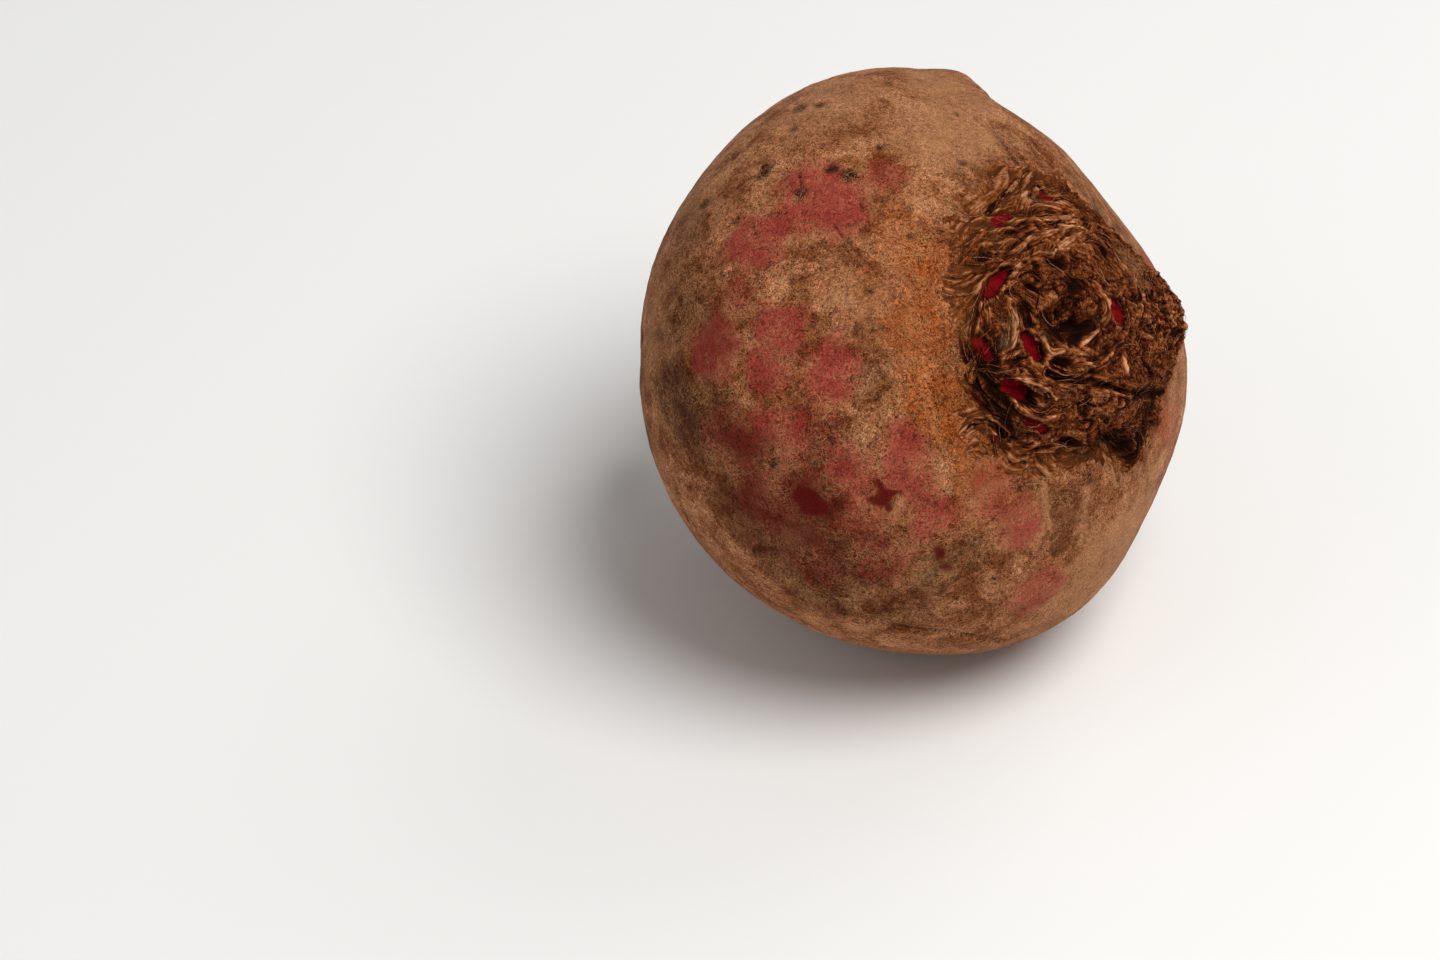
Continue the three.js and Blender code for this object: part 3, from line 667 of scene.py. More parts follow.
def strewn_on(parts):
    """Adds up soft round parts of the crown at each grid point."""
    return sum(amount * bell(np.hypot(FIELD_X - x, FIELD_Y - y) / reach)
               for x, y, reach, amount in parts)


@functools.lru_cache(maxsize=None)
def crown_map():
    """Height of the crown at each grid point, and the fields that colour it."""
    share = crown_share(FIELD_X, FIELD_Y)
    fine, coarse = combed(uneven(0.24, 31), 1.8), combed(uneven(0.6, 32), 3.6)
    tone = 0.07 * uneven(4.0, 33) + strewn_on(CROWN_SHADES)
    combs = strewn_on(COMBED_PARTS) + 0.35 * uneven(4.0, 47)
    drawn = np.zeros_like(share)
    wander = 1.0 + 0.35 * uneven(1.4, 34)
    for line, (away, _, _) in zip(CROWN_LINES, line_places()):
        stroke = bell(away * wander / line.width)
        drawn += line.height * stroke
        tone += 0.7 * line.tone * stroke
        combs = np.maximum(combs, bell(away / 1.4))
    height = crown_height(share) + husk_terraces() + drawn

    # Thin crooked gaps where the husks have torn apart, and small holes, fewer among combed fibres. Their
    # darker tone is painted shade.
    sway = FIELD_POINTS + 0.9 * np.stack([uneven(2.4, 42), uneven(2.4, 43), 0.0 * share], axis=1)
    torn = bell(noise(sway, 3.0, 44) / 0.07) * smooth((noise(sway, 4.0, 45) + 0.1) / 0.4)
    holes = smooth((noise(sway, 2.0, 46) - 0.42) / 0.2)
    loose = 1.0 - 0.65 * np.clip(combs, 0.0, 1.0)
    height -= loose * (0.6 * torn + 0.6 * holes)
    tone -= loose * (0.22 * torn + 0.2 * holes)

    # The second growing point stands on a knobbly, granular lump.
    lump = bell(np.linalg.norm(FIELD_PLACES - EYES[1].at, axis=1) / 9.0)
    height += lump * (1.3 * np.abs(uneven(2.2, 35)) + 0.65 * np.abs(uneven(1.0, 36)) - 0.9)
    combs = np.clip(combs * (1.0 - 0.8 * lump), 0.0, 1.0)

    # Where the fibres aren't combed they have rotted to crumbs with cracks between them.
    flecks = uneven(0.32, 41)
    cracks = bell(noise(sway, 0.9, 37) / 0.16) + 0.6 * bell(noise(sway, 0.5, 49) / 0.2)
    crumbs = (1.0 - 0.8 * combs) * (0.5 - cracks)
    height += 0.09 * combs * fine + 0.1 * combs * coarse + 0.3 * crumbs + 0.12 * flecks
    height += 0.16 * (1.0 - 0.6 * combs) * uneven(1.3, 48)

    gap_height, gap_tone, crimson = gap_relief(coarse)
    height += gap_height
    # The tone follows the relief as painted shade and light: darker in hollows and cracks, lighter on
    # bumps, crumbs and flecks.
    hollow, nick = height - blurred(height, 1.3), height - blurred(height, 0.35)
    tone += gap_tone + 0.37 + 0.2 * hollow + 0.5 * nick + combs * (0.09 * fine + 0.06 * coarse)
    tone += 0.06 * flecks + (0.12 + 0.3 * lump) * crumbs

    # Ragged border: the thick mass thins out to a film of fibres, and that dips under the skin.
    # On the side towards the shoulder it thins out slowly.
    turn = np.degrees(np.arctan2(FIELD_Y - CROWN_MIDDLE[1], FIELD_X - CROWN_MIDDLE[0]))
    slow = sum(much * bell(((turn - middle + 180.0) % 360.0 - 180.0) / wide)
               for middle, wide, much in SLOW_EDGES)
    ragged = 0.07 * uneven(3.0, 39) + 0.035 * coarse
    thick = smooth((1.0 - share + ragged) / (0.14 + 0.22 * slow))
    far = share + 0.1 * uneven(3.2, 52) + 0.05 * uneven(1.1, 53)
    film = 0.05 + 0.4 * slow + 0.07 * fine + 0.08 * coarse + 0.7 * drawn
    film -= (2.4 + 3.0 * slow) * np.maximum(far - 1.0, 0.0)
    height = film + (np.maximum(height, LEAST_HEIGHT) - film) * thick
    sink = smooth((share + 0.6 * ragged - 1.14) / 0.05)
    height += (SUNK - height) * sink
    fringe = 1.0 - smooth((1.0 - share + 1.3 * ragged) / (0.12 + 0.2 * slow))
    tone += fringe * (0.06 + 0.08 * fine + 0.12 * coarse)
    return {"height": height, "tone": np.clip(tone, 0.0, 1.0), "crimson": crimson * (1.0 - sink),
            "fringe": fringe * np.clip(1.0 + 1.6 * drawn, 0.0, 1.0), "combed": combs,
            "dusty": np.clip(strewn_on(DUSTY_PARTS), 0.0, 1.0)}


def comb_places(x, y):
    """Where a noise is to be read so that it follows the fibres: one number that grows across them
    and two that grow along them, all in millimetres."""
    flat = np.stack([x, y, np.zeros_like(x)], axis=1)
    places = flat[:, :2]
    sway = 0.9 * noise(flat, 6.0, 90) + 0.3 * noise(flat, 2.2, 91)
    comb = np.zeros_like(flat)
    best = np.full(len(x), np.inf)
    for eye in EYES:
        off = places - eye.at
        away = np.linalg.norm(off, axis=1) + 0.01
        nearer = away / eye.outer < best
        round_it = np.column_stack([away + sway, 0.7 * eye.outer * off / away[:, None]])
        comb[nearer] = round_it[nearer]
        best[nearer] = (away / eye.outer)[nearer]
    for n, line in enumerate(CROWN_LINES):
        away, _, along = nearest_on(places, smooth_line(line.points))
        nearer = away < COMB_REACH / 2
        comb[nearer] = np.column_stack([away + 0.4 * sway, along, np.full(len(x), 9.0 * n)])[nearer]
    return comb


# Meshes

Mesh = namedtuple("Mesh", "points faces fields")


def joined(meshes):
    """Several meshes as one, with their fields."""
    points = np.concatenate([m.points for m in meshes])
    starts = np.cumsum([0] + [len(m.points) for m in meshes])
    faces = [f + start for m, start in zip(meshes, starts) for f in m.faces]
    fields = {name: np.concatenate([m.fields[name] for m in meshes]) for name in meshes[0].fields}
    return Mesh(points, faces, fields)


def make_piece(name, mesh, material, nodes=()):
    """One object from points in the root's own axes, a value per point for each field, and its
    place in the frame."""
    data = bpy.data.meshes.new(name)
    data.from_pydata(to_row(mesh.points).tolist(), [], [list(map(int, f)) for f in mesh.faces])
    for field, values in mesh.fields.items():
        layer = data.attributes.new(field, "FLOAT", "POINT")
        layer.data.foreach_set("value", values.astype(np.float32))
    data.shade_smooth()
    data.materials.append(material)
    piece = bpy.data.objects.new(name, data)
    bpy.context.scene.collection.objects.link(piece)
    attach(piece, "root")
    if nodes:
        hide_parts(*nodes)
    return piece


def grid_faces(rows, columns):
    """The quads of a grid of points, and the points along its border in order."""
    index = np.arange(rows * columns).reshape(rows, columns)
    quads = np.stack([index[:-1, :-1], index[1:, :-1], index[1:, 1:], index[:-1, 1:]], axis=-1)
    border = np.concatenate([index[:-1, 0], index[-1, :-1], index[:0:-1, -1], index[0, :0:-1]])
    return quads.reshape(-1, 4), border


def cube_sphere(cells):
    """Directions spread evenly over a sphere, on six square grids that share their borders."""
    step = np.arange(cells + 1)
    a, b = (g.ravel() for g in np.meshgrid(step, step, indexing="ij"))
    quad, _ = grid_faces(cells + 1, cells + 1)
    sheets, quads = [], []
    for axis, side in itertools.product(range(3), (0, cells)):
        quads.append((quad if side else quad[:, ::-1]) + len(sheets) * len(a))
        sheets.append(np.roll(np.stack([np.full_like(a, side), a, b], axis=1), axis, axis=1))
    places, where = np.unique(np.concatenate(sheets), axis=0, return_inverse=True)
    return unit(np.tan((2.0 * places / cells - 1.0) * math.pi / 4)), where.ravel()[np.concatenate(quads)]


def normals(points, quads):
    """Unit normal at each point of a mesh of quads."""
    a, b, c, d = (points[quads[:, n]] for n in range(4))
    across = np.cross(c - a, d - b)
    return unit(np.stack(
        [sum(np.bincount(quads[:, n], across[:, k], len(points)) for n in range(4)) for k in range(3)],
        axis=1))


def disc_grid(cells):
    """A square grid bent into a disc of radius 1: its points, quads, and border in order."""
    line = np.linspace(-1.0, 1.0, cells + 1)
    u, v = (g.ravel() for g in np.meshgrid(line, line, indexing="ij"))
    wide = np.abs(u) > np.abs(v)
    reach = np.where(wide, u, v)
    share = np.divide(np.where(wide, v, u), reach, out=np.zeros_like(u), where=reach != 0)
    turn = np.where(wide, math.pi / 4 * share, math.pi / 2 - math.pi / 4 * share)
    return reach * np.cos(turn), reach * np.sin(turn), *grid_faces(cells + 1, cells + 1)


def closed_sheet(front, back, fields):
    """A thin closed body between two grids of points, which share their fields."""
    quads, border = grid_faces(*front.shape[:2])
    count = front.size // 3
    following = np.roll(border, -1)
    rim = np.stack([border, border + count, following + count, following], axis=1)
    points = np.concatenate([front.reshape(-1, 3), back.reshape(-1, 3)])
    return Mesh(points, [*quads, *(quads[:, ::-1] + count), *rim],
                {name: np.tile(values.ravel(), 2) for name, values in fields.items()})


def tubes(paths, radii, sides, fields):
    """Thin tapering tubes: paths and radii have one row for each tube."""
    run = unit(np.gradient(paths, axis=1))
    side = unit(np.cross(run, unit(paths)))
    up = np.cross(side, run)
    turn = np.arange(sides) * 2.0 * math.pi / sides
    ring = side[:, :, None] * np.cos(turn)[:, None] + up[:, :, None] * np.sin(turn)[:, None]
    points = paths[:, :, None] + ring * radii[:, :, None, None]
    index = np.arange(points.size // 3).reshape(points.shape[:3])
    after = np.roll(index, -1, axis=2)
    quads = np.stack([index[:, :-1], index[:, 1:], after[:, 1:], after[:, :-1]], axis=-1)
    return Mesh(points.reshape(-1, 3), [*quads.reshape(-1, 4), *index[:, 0], *index[:, -1, ::-1]],
                {name: np.repeat(values.ravel(), sides) for name, values in fields.items()})


# Materials

def linear(code):
    """A linear colour from an sRGB hex value."""
    parts = [int(code[n:n + 2], 16) / 255 for n in (1, 3, 5)]
    return tuple(p / 12.92 if p <= 0.04045 else ((p + 0.055) / 1.055) ** 2.4 for p in parts)


def colour(name, code, description):
    """A colour that the user can change, from its sRGB hex value."""
    return FloatVectorProperty(name=name, description=description, default=linear(code),
                               subtype="COLOR", size=3, min=0.0, max=1.0)


def length(name, millimetres, description):
    """A length that the user can change."""
    return FloatProperty(name=name, description=description, default=millimetres * 0.001,
                         min=0.0, unit="LENGTH", subtype="DISTANCE", precision=5)


def add(tree, kind, settings=None, out=0):
    """Adds a node and gives one of its outputs. Its settings go by socket name, socket number or
    property name. One that is another node's output is linked, and a ramp's stops are its colours."""
    node = tree.nodes.new(kind)
    for key, value in (settings or {}).items():
        if key == "stops":
            for _ in value[2:]:
                node.color_ramp.elements.new(0.5)
            for element, (where, shade) in zip(node.color_ramp.elements, value):
                element.position = where
                element.color = rgba(shade)
        elif not isinstance(key, int) and key not in node.inputs:
            setattr(node, key, value)
        elif isinstance(value, bpy.types.NodeSocket):
            tree.links.new(value, node.inputs[key])
        else:
            node.inputs[key].default_value = value
    return node.outputs[out]


def new_material(name, settings):
    """A material with these settings of its principled surface, its node tree and that surface."""
    material = bpy.data.materials.new(name)
    material.use_nodes = True
    surface = material.node_tree.nodes["Principled BSDF"]
    for socket, value in settings.items():
        surface.inputs[socket].default_value = value
    return material, material.node_tree, surface


def rgba(tint):
    """A colour with full opacity."""
    return (*tint, 1.0)


def with_marks(tree, shade, marks, grain, bare=0.0):
    """Lays the marks of the mesh over a colour. Each has its field's name, its tint, how ragged it
    is, from which to which level it sets in, and how much of the tint it lays on. Grain eats into
    the edges, and bare is how far it alone may show a mark where the field has none."""
    for name, tint, spread, low, high, amount in marks:
        field = add(tree, "ShaderNodeAttribute", {"attribute_name": name}, "Fac")
        rough = add(tree, "ShaderNodeMath",
                    {"operation": "MULTIPLY_ADD", 0: grain, 1: spread, 2: -spread / 2})
        ragged = add(tree, "ShaderNodeMath", {"operation": "ADD", 0: field, 1: rough})
        present = add(tree, "ShaderNodeMapRange",
                      {"interpolation_type": "SMOOTHSTEP", "Value": field, "From Max": 0.25,
                       "To Min": bare})
        mask = add(tree, "ShaderNodeMapRange",
                   {"interpolation_type": "SMOOTHSTEP", "Value": ragged, "From Min": low,
                    "From Max": high, "To Max": amount})
        factor = add(tree, "ShaderNodeMath", {"operation": "MULTIPLY", 0: mask, 1: present})
        shade = add(tree, "ShaderNodeMix", {"data_type": "RGBA", 0: factor, 6: shade, 7: rgba(tint)}, 2)
    return shade


def with_felt(tree, shade, felt, dim, lit, amount=1.0):
    """Darkens and lightens a colour with the felted fibres."""
    weight = add(tree, "ShaderNodeMapRange",
                 {"Value": felt, "From Min": 0.36, "From Max": 0.64, "To Min": dim, "To Max": lit})
    return add(tree, "ShaderNodeMix",
               {"data_type": "RGBA", "blend_type": "MULTIPLY", 0: amount, 6: shade, 7: weight}, 2)


def with_threads(tree, shade, fibres, level, tint, share):
    """Draws thin threads where a twisted noise crosses a level, only where share lets them."""
    off = add(tree, "ShaderNodeMath", {"operation": "SUBTRACT", 0: fibres, 1: level})
    ridge = add(tree, "ShaderNodeMath", {"operation": "ABSOLUTE", 0: off})
    thin = add(tree, "ShaderNodeMapRange",
               {"Value": ridge, "From Min": THREAD_WIDTH, "From Max": THREAD_WIDTH / 4})
    threads = add(tree, "ShaderNodeMath", {"operation": "MULTIPLY", 0: thin, 1: share})
    return add(tree, "ShaderNodeMix", {"data_type": "RGBA", 0: threads, 6: shade, 7: rgba(tint)}, 2)


def skin_material(look):
    """Dry corky beetroot skin, grown in soil, washed and air-dried."""
    # Dry cork scatters light with hardly any gloss, and its dust brightens the rim. It is felted and
    # thin, so it breaks up into pale threads, with dark threads beside them that are their painted
    # shadows, and lets the rose layer below show.
    material, tree, surface = new_material("dry_corky_beet_skin_air_dried", {
        "Roughness": 0.85, "Specular IOR Level": 0.05, "Sheen Weight": 0.26,
        "Sheen Roughness": 0.32, "Sheen Tint": rgba(look.dust),
    })
    place = add(tree, "ShaderNodeTexCoord", out="Object")
    # The real fibres are 0.05 mm wide. They are drawn as felt of about 0.45 mm, so that they show.
    mottle, grain, felt, fibres, patchy = (
        add(tree, "ShaderNodeTexNoise", {"Vector": place, "Scale": 1.0 / size, "Detail": detail,
                                         "Roughness": rough, "Distortion": twist})
        for size, detail, rough, twist in (
            (look.mottle_size, 8.0, 0.68, 0.4),
            (look.grain_size, 5.0, 0.7, 0.8),
            (look.felt_size, 2.5, 0.6, 1.8),
            (look.fleck_size, 3.0, 0.6, 2.4),
            (2.5 * look.fleck_size, 3.0, 0.5, 0.0),
        ))
    # Thin pale skin is smoother than the thick cork.
    thin = add(tree, "ShaderNodeAttribute", {"attribute_name": "pale"}, "Fac")
    corky = add(tree, "ShaderNodeMapRange",
                {"Value": thin, "From Min": 1.0, "From Max": 0.0, "To Min": 0.45})

    shade = add(tree, "ShaderNodeValToRGB", {"Fac": mottle, "stops": (
        (0.21, look.brown), (0.42, look.russet), (0.58, look.tan), (0.80, look.straw))})
    shade = with_marks(tree, shade, (
        ("pale", look.pale, 0.8, 0.15, 0.95, 0.72),
        ("orange", look.orange, 0.9, 0.2, 0.9, 0.75),
        # The dark field holds darker skin, and painted shade low on the side towards the camera.
        ("dark", look.dark, 0.9, 0.25, 1.05, 0.8),
        ("film", look.film, 1.1, 0.2, 0.9, 0.75),
    ), grain)
    shade = with_felt(tree, shade, felt, look.felt_dark, look.felt_light, corky)
    shade = with_marks(tree, shade, [("rose", look.rose, 1.8, 0.0, 0.95, 0.85)], felt)
    shade = with_marks(tree, shade, (
        ("stain", look.stain, 1.7, 0.35, 1.2, 0.7),
        ("pit", look.pit, 0.5, 0.2, 0.9, 0.9),
    ), grain)
    shade = with_felt(tree, shade, felt, 0.6, 1.45, corky)
    # The pale threads are flecks of cork. The dark ones lie on the same noise just below their level, so
    # they run beside the pale ones as their painted shadows.
    for level, tint, start, end, amount in ((0.5, look.fleck, 0.4, 0.62, 0.65),
                                            (0.42, look.speck_and_thread_shadow, 0.6, 0.38, 0.5)):
        share = add(tree, "ShaderNodeMapRange",
                    {"Value": patchy, "From Min": start, "From Max": end, "To Max": amount})
        shade = with_threads(tree, shade, fibres, level, tint, share)
    shade = with_marks(tree, shade, [("crimson", look.crimson, 1.0, 0.1, 0.95, 0.92)], felt)
    low = add(tree, "ShaderNodeMapRange",
              {"Value": grain, "From Min": 0.42, "From Max": 0.27, "To Max": 0.75})
    specks = add(tree, "ShaderNodeMath", {"operation": "MULTIPLY", 0: low, 1: corky})
    shade = add(tree, "ShaderNodeMix",
                {"data_type": "RGBA", 0: specks, 6: shade, 7: rgba(look.speck_and_thread_shadow)}, 2)
    high = add(tree, "ShaderNodeMath", {"operation": "MULTIPLY_ADD", 0: felt, 1: 0.8, 2: grain})
    bump = add(tree, "ShaderNodeBump", {"Strength": 0.8, "Distance": look.grain_height, "Height": high})
    tree.links.new(shade, surface.inputs["Base Color"])
    tree.links.new(bump, surface.inputs["Normal"])
    return material


def stalk_material(look):
    """Withered beet leaf stalks, torn off by hand and dried."""
    # Dead plant fibre is matt, straw coloured along every torn edge, with living crimson tissue in the
    # gaps. Its tone also holds painted shade, nearly black in hollows, cracks and creases, and painted
    # light on raised ridges and crumbs.
    material, tree, surface = new_material("withered_leaf_stalks_torn_and_dried",
                                           {"Roughness": 0.9, "Specular IOR Level": 0.04})
    place = add(tree, "ShaderNodeTexCoord", out="Object")
    grain = add(tree, "ShaderNodeTexNoise", {"Vector": place, "Scale": 1.0 / look.grain_size,
                                             "Detail": 3.0, "Roughness": 0.7, "Distortion": 1.6})
    tone, combs, *comb = (add(tree, "ShaderNodeAttribute", {"attribute_name": name}, "Fac")
                          for name in ("tone", "combed", *COMB_FIELDS))
    # The real fibres are 0.05 mm wide. They are drawn 0.3 mm apart, so that they show.
    fine, long = 0.001 / look.fibre_width, 0.001 / look.fibre_length
    drawn_out = add(tree, "ShaderNodeVectorMath", {
        "operation": "MULTIPLY", 1: (fine, long, long),
        0: add(tree, "ShaderNodeCombineXYZ", dict(enumerate(comb)))})
    fibres = add(tree, "ShaderNodeTexNoise", {"Vector": drawn_out, "Scale": 1.0, "Detail": 3.0,
                                              "Roughness": 0.6, "Distortion": 0.4})
    texture = add(tree, "ShaderNodeMix", {"data_type": "FLOAT", 0: combs, 2: grain, 3: fibres})
    rough = add(tree, "ShaderNodeMath", {"operation": "MULTIPLY_ADD", 0: texture, 1: 1.6, 2: -0.8})
    level = add(tree, "ShaderNodeMath", {"operation": "ADD", 0: tone, 1: rough})
    shade = add(tree, "ShaderNodeValToRGB", {"Fac": level, "stops": (
        (0.1, look.deep), (0.3, look.umber), (0.5, look.brown), (0.75, look.tan), (1.0, look.straw))})
    shade = with_marks(tree, shade, (
        ("fringe", look.fringe, 1.6, 0.1, 0.9, 0.4),
        ("dusty", look.dust, 1.6, 0.2, 1.2, 0.6),
        ("crimson", look.crimson, 1.6, 0.2, 0.7, 0.85),
    ), texture, bare=1.0)
    shade = with_felt(tree, shade, texture, 0.65, 1.35)
    bump = add(tree, "ShaderNodeBump",
               {"Strength": 0.8, "Distance": look.grain_height, "Height": texture})
    tree.links.new(shade, surface.inputs["Base Color"])
    tree.links.new(bump, surface.inputs["Normal"])
    return material


# The pieces


def on_hidden_side(rng, clusters, members, radius, strength):
    """Marks strewn in clusters over the side away from the camera."""
    marks = []
    while len(marks) < clusters * members:
        middle = unit(rng.normal(size=3))
        if middle @ CAMERA_SIDE < -0.05 and 45.0 < direction_of(middle)[0] < 150.0:
            for off in rng.normal(0.0, 0.1, (members, 3)):
                place = direction_of(middle + off)
                marks.append((*place, rng.uniform(*radius), rng.uniform(*strength)))
    return marks


def marked(u, marks, softness):
    """How strongly each direction is covered by round marks, from 0 to 1."""
    total = np.zeros(len(u))
    for polar, around, radius, strength in marks:
        away = MEAN_RADIUS * np.radians(angle_between(u, direction(polar, around))) / radius
        total = np.maximum(total, strength * smooth((1.0 + softness - away) / (2.0 * softness)))
    return total


def on_ball(points):
    """A line through places given by polar angle and turn, on the mean ball."""
    return smooth_line([MEAN_RADIUS * direction(*p) for p in points])


def skin_mesh(look):
    """The whole root's skin, with its fine relief and the fields that colour it."""
    u, quads = cube_sphere(look.detail)
    ball = u * MEAN_RADIUS
    shift = np.stack([1.4 * noise(ball, 5.0, 40 + n) + 1.1 * noise(ball, 1.9, 50 + n)
                      for n in range(3)], axis=1)
    base = skin_points(u)
    true = MEAN_RADIUS * unit(base)
    ragged = unit(true + shift)
    wavy = true + 0.25 * shift
    polar = angle_between(u, UP)
    around = np.arctan2(u[:, 1], u[:, 0])
    rng = np.random.default_rng(RANDOM_SEED)

    height = 0.2 * layered_noise(base, 13.0, 60) + 0.1 * layered_noise(base, 4.0, 64)
    height += 0.05 * noise(base, 1.2, 68)
    # Fine creases run up the shoulder to the crown, and rings run round the tail.
    spokes = np.stack([40.0 * np.cos(around), 40.0 * np.sin(around), 0.12 * polar], axis=1)
    streaks = layered_noise(spokes, 1.8, 70)
    height += 0.3 * streaks * bell((polar - 36.0) / 9.0)
    height += 0.6 * layered_noise(base * (0.15, 0.15, 1), 2.6, 72) * smooth((polar - 148.0) / 12.0)
    # The tail has snapped: a rough, paler end.
    broken = smooth((polar - 174.5) / 2.0)
    height += 0.5 * broken * layered_noise(base, 1.6, 78)

    pit, papery, furrow = np.zeros((3, len(u)))
    strewn = [(*direction_of(d), rng.uniform(0.5, 1.0), rng.uniform(0.1, 0.22))
              for d in rng.normal(size=(look.pits, 3))]
    for pol, aro, radius, depth in (*SKIN_PITS, *strewn):
        away = np.linalg.norm(wavy - MEAN_RADIUS * direction(pol, aro), axis=1) / radius
        height += depth * (0.3 * bell((away - 1.7) / 0.5) - bell(away))
        pit = np.maximum(pit, min(1.0, 4.0 * depth) * bell(away / 1.2))
    for points, width, depth, darkness in SKIN_CREASES:
        away = nearest_on(wavy, on_ball(points))[0] / width
        height += depth * (0.5 * bell(away - 1.8) - bell(away))
        pit = np.maximum(pit, darkness * bell(away))
        if depth < 0.0:
            papery = np.maximum(papery, bell(0.7 * away))
    for points in ROOT_FURROWS:
        away = nearest_on(ragged * MEAN_RADIUS, on_ball(points))[0]
        furrow = np.maximum(furrow, bell(away / FURROW_WIDTH))
    height -= FURROW_DEPTH * furrow * smooth((170.0 - polar) / 20.0)

    out = MAP_RADIUS * np.radians(polar * GLOBE_REACH / GLOBE_END)
    share = crown_share(out * np.cos(around), out * np.sin(around))
    near_crown = 1.0 - smooth((share - 0.95 + 0.08 * noise(ball, 4.0, 76)) / 0.22)
    height *= 1.0 - 0.4 * near_crown

    fields = {name: marked(ragged, marks if hidden is None else (*marks, *on_hidden_side(rng, *hidden)),
                           softness)
              for name, (marks, softness, hidden) in SKIN_MARKS.items()}
    tail = smooth((polar - 140.0) / 18.0)
    runs = 0.9 * np.clip(layered_noise(spokes, 1.5, 75), 0.0, 1.0) * bell((polar - 40.0) / 22.0)
    fields["rose"] *= 1.0 - tail
    fields["dark"] = np.max([fields["dark"], 0.7 * tail, 0.6 * furrow], axis=0) * (1.0 - broken)
    fields["dark"] = fields["dark"] * (1.0 - papery) + runs
    fields["orange"] = np.maximum(fields["orange"], 0.5 * near_crown)
    fields["film"] = np.maximum(fields["film"], near_crown) * np.clip(0.8 + 0.9 * streaks, 0.0, 1.2)
    fields["film"] *= 1.0 - papery
    fields["pale"] = np.max([fields["pale"], broken, 1.3 * papery], axis=0)
    points = laid_down(base + normals(base, quads) * height[:, None])
    return Mesh(points, quads, fields | {"pit": pit})


def mat_mesh(look):
    """The mass of torn leaf bases, as one finely worked surface sunk into the crown."""
    unit_x, unit_y, quads, border = disc_grid(look.detail)
    reach = MAT_SPREAD * edge_radius(np.degrees(np.arctan2(unit_y, unit_x)))
    x, y = CROWN_MIDDLE[0] + unit_x * reach, CROWN_MIDDLE[1] + unit_y * reach
    fields = {name: read_field(field, x, y) for name, field in crown_map().items()}
    height = fields.pop("height")
    height[border] = SUNK
    fields |= zip(COMB_FIELDS, comb_places(x, y).T)
    fields = {name: np.append(values, 0.3) for name, values in fields.items()}
    bottom = crown_points(*np.reshape(CROWN_MIDDLE, (2, 1)), -MAT_SUNK_MIDDLE)
    under = [(len(x), b, a) for a, b in zip(border, np.roll(border, -1))]
    return Mesh(np.concatenate([crown_points(x, y, height), bottom]), [*quads, *under], fields)


def flap_mesh(at, turn, radius, half_width, height, lean, rng):
    """One torn husk standing round a growing point: a thin sheet with a ragged top."""
    s, v = np.meshgrid(np.linspace(-1.0, 1.0, FLAP_ACROSS), np.linspace(0.0, 1.0, FLAP_UP),
                       indexing="ij")
    own = np.full(s.shape, rng.uniform(0, 90))
    place = np.stack([s * half_width, v * height, own], axis=-1).reshape(-1, 3)
    tear, notch, rib, ripple = (
        noise(place * (1, up, 1), size, seed).reshape(s.shape)
        for up, size, seed in ((0, 0.9, 80), (0, 2.4, 81), (0.12, 0.38, 82), (0.5, 2.2, 83)))
    high = v * height * np.clip(
        1.0 - 0.8 * np.abs(s) ** 2.5 - 0.35 * np.abs(tear) + 0.3 * notch, 0.06, 1.4)
    angle = math.radians(turn) + s * half_width / radius
    thick = (0.32 - 0.22 * v) * np.clip(1.3 - np.abs(s) ** 3, 0.3, 1.0)
    out = radius + high * math.tan(math.radians(lean)) + 0.45 * v * ripple + 0.08 * rib
    foot = read_field(crown_map()["height"], at[0] + radius * np.cos(angle),
                      at[1] + radius * np.sin(angle))
    sheets = [crown_points(at[0] + reach * np.cos(angle), at[1] + reach * np.sin(angle),
                           foot - FLAP_SINK + high)
              for reach in (out - 0.5 * thick, out + 0.5 * thick)]
    tone = np.clip(0.26 + 0.16 * v**1.5 + 0.14 * rib + 0.1 * ripple + rng.uniform(-0.12, 0.12), 0, 1)
    blank = np.zeros_like(tone)
    fields = {"tone": tone, "crimson": blank, "fringe": blank, "combed": blank + 0.9,
              "dusty": blank + max(0.0, rng.uniform(-0.5, 0.5))}
    fields |= zip(COMB_FIELDS, (s * half_width, high, own))
    return closed_sheet(*sheets, fields)


def husk_mesh(look):
    """All torn husks: the named ones as in the solid, and smaller scraps between them."""
    rng = np.random.default_rng(RANDOM_SEED + 1)
    flaps = []
    for eye in EYES:
        for n in range(eye.husks):
            along = n / (eye.husks - 1)
            radius = eye.inner + (eye.outer - eye.inner) * along
            height = eye.height * (1.0 - 0.35 * along) * rng.uniform(0.5, 0.9)
            lean = eye.lean + 26.0 * along + rng.uniform(-8.0, 8.0)
            half_width = eye.half_width * rng.uniform(0.75, 1.0)
            flaps.append((eye.at, eye.turn + n * LEAF_TURN, radius, half_width, height, lean))
        for _ in range(int(look.scraps * eye.outer**2 / sum(e.outer**2 for e in EYES))):
            radius = eye.outer * math.sqrt(rng.uniform(0.04, 1.1))
            flaps.append((eye.at, rng.uniform(0.0, 360.0), radius, rng.uniform(0.5, 1.5),
                          rng.uniform(0.6, 1.3), rng.uniform(10.0, 60.0)))
    feet = [foot_of(*flap[:3]) for flap in flaps]
    in_gap = read_field(crown_map()["crimson"], *np.transpose(feet)) > 0.1
    return joined([flap_mesh(*flap, rng) for flap, foot, gap in zip(flaps, feet, in_gap)
                   if crown_share(*foot) < 1.0 - BARE_EDGE and not gap])


def foot_of(at, turn, radius):
    """Place of a flap's foot on the crown map."""
    return at[0] + radius * math.cos(math.radians(turn)), at[1] + radius * math.sin(math.radians(turn))


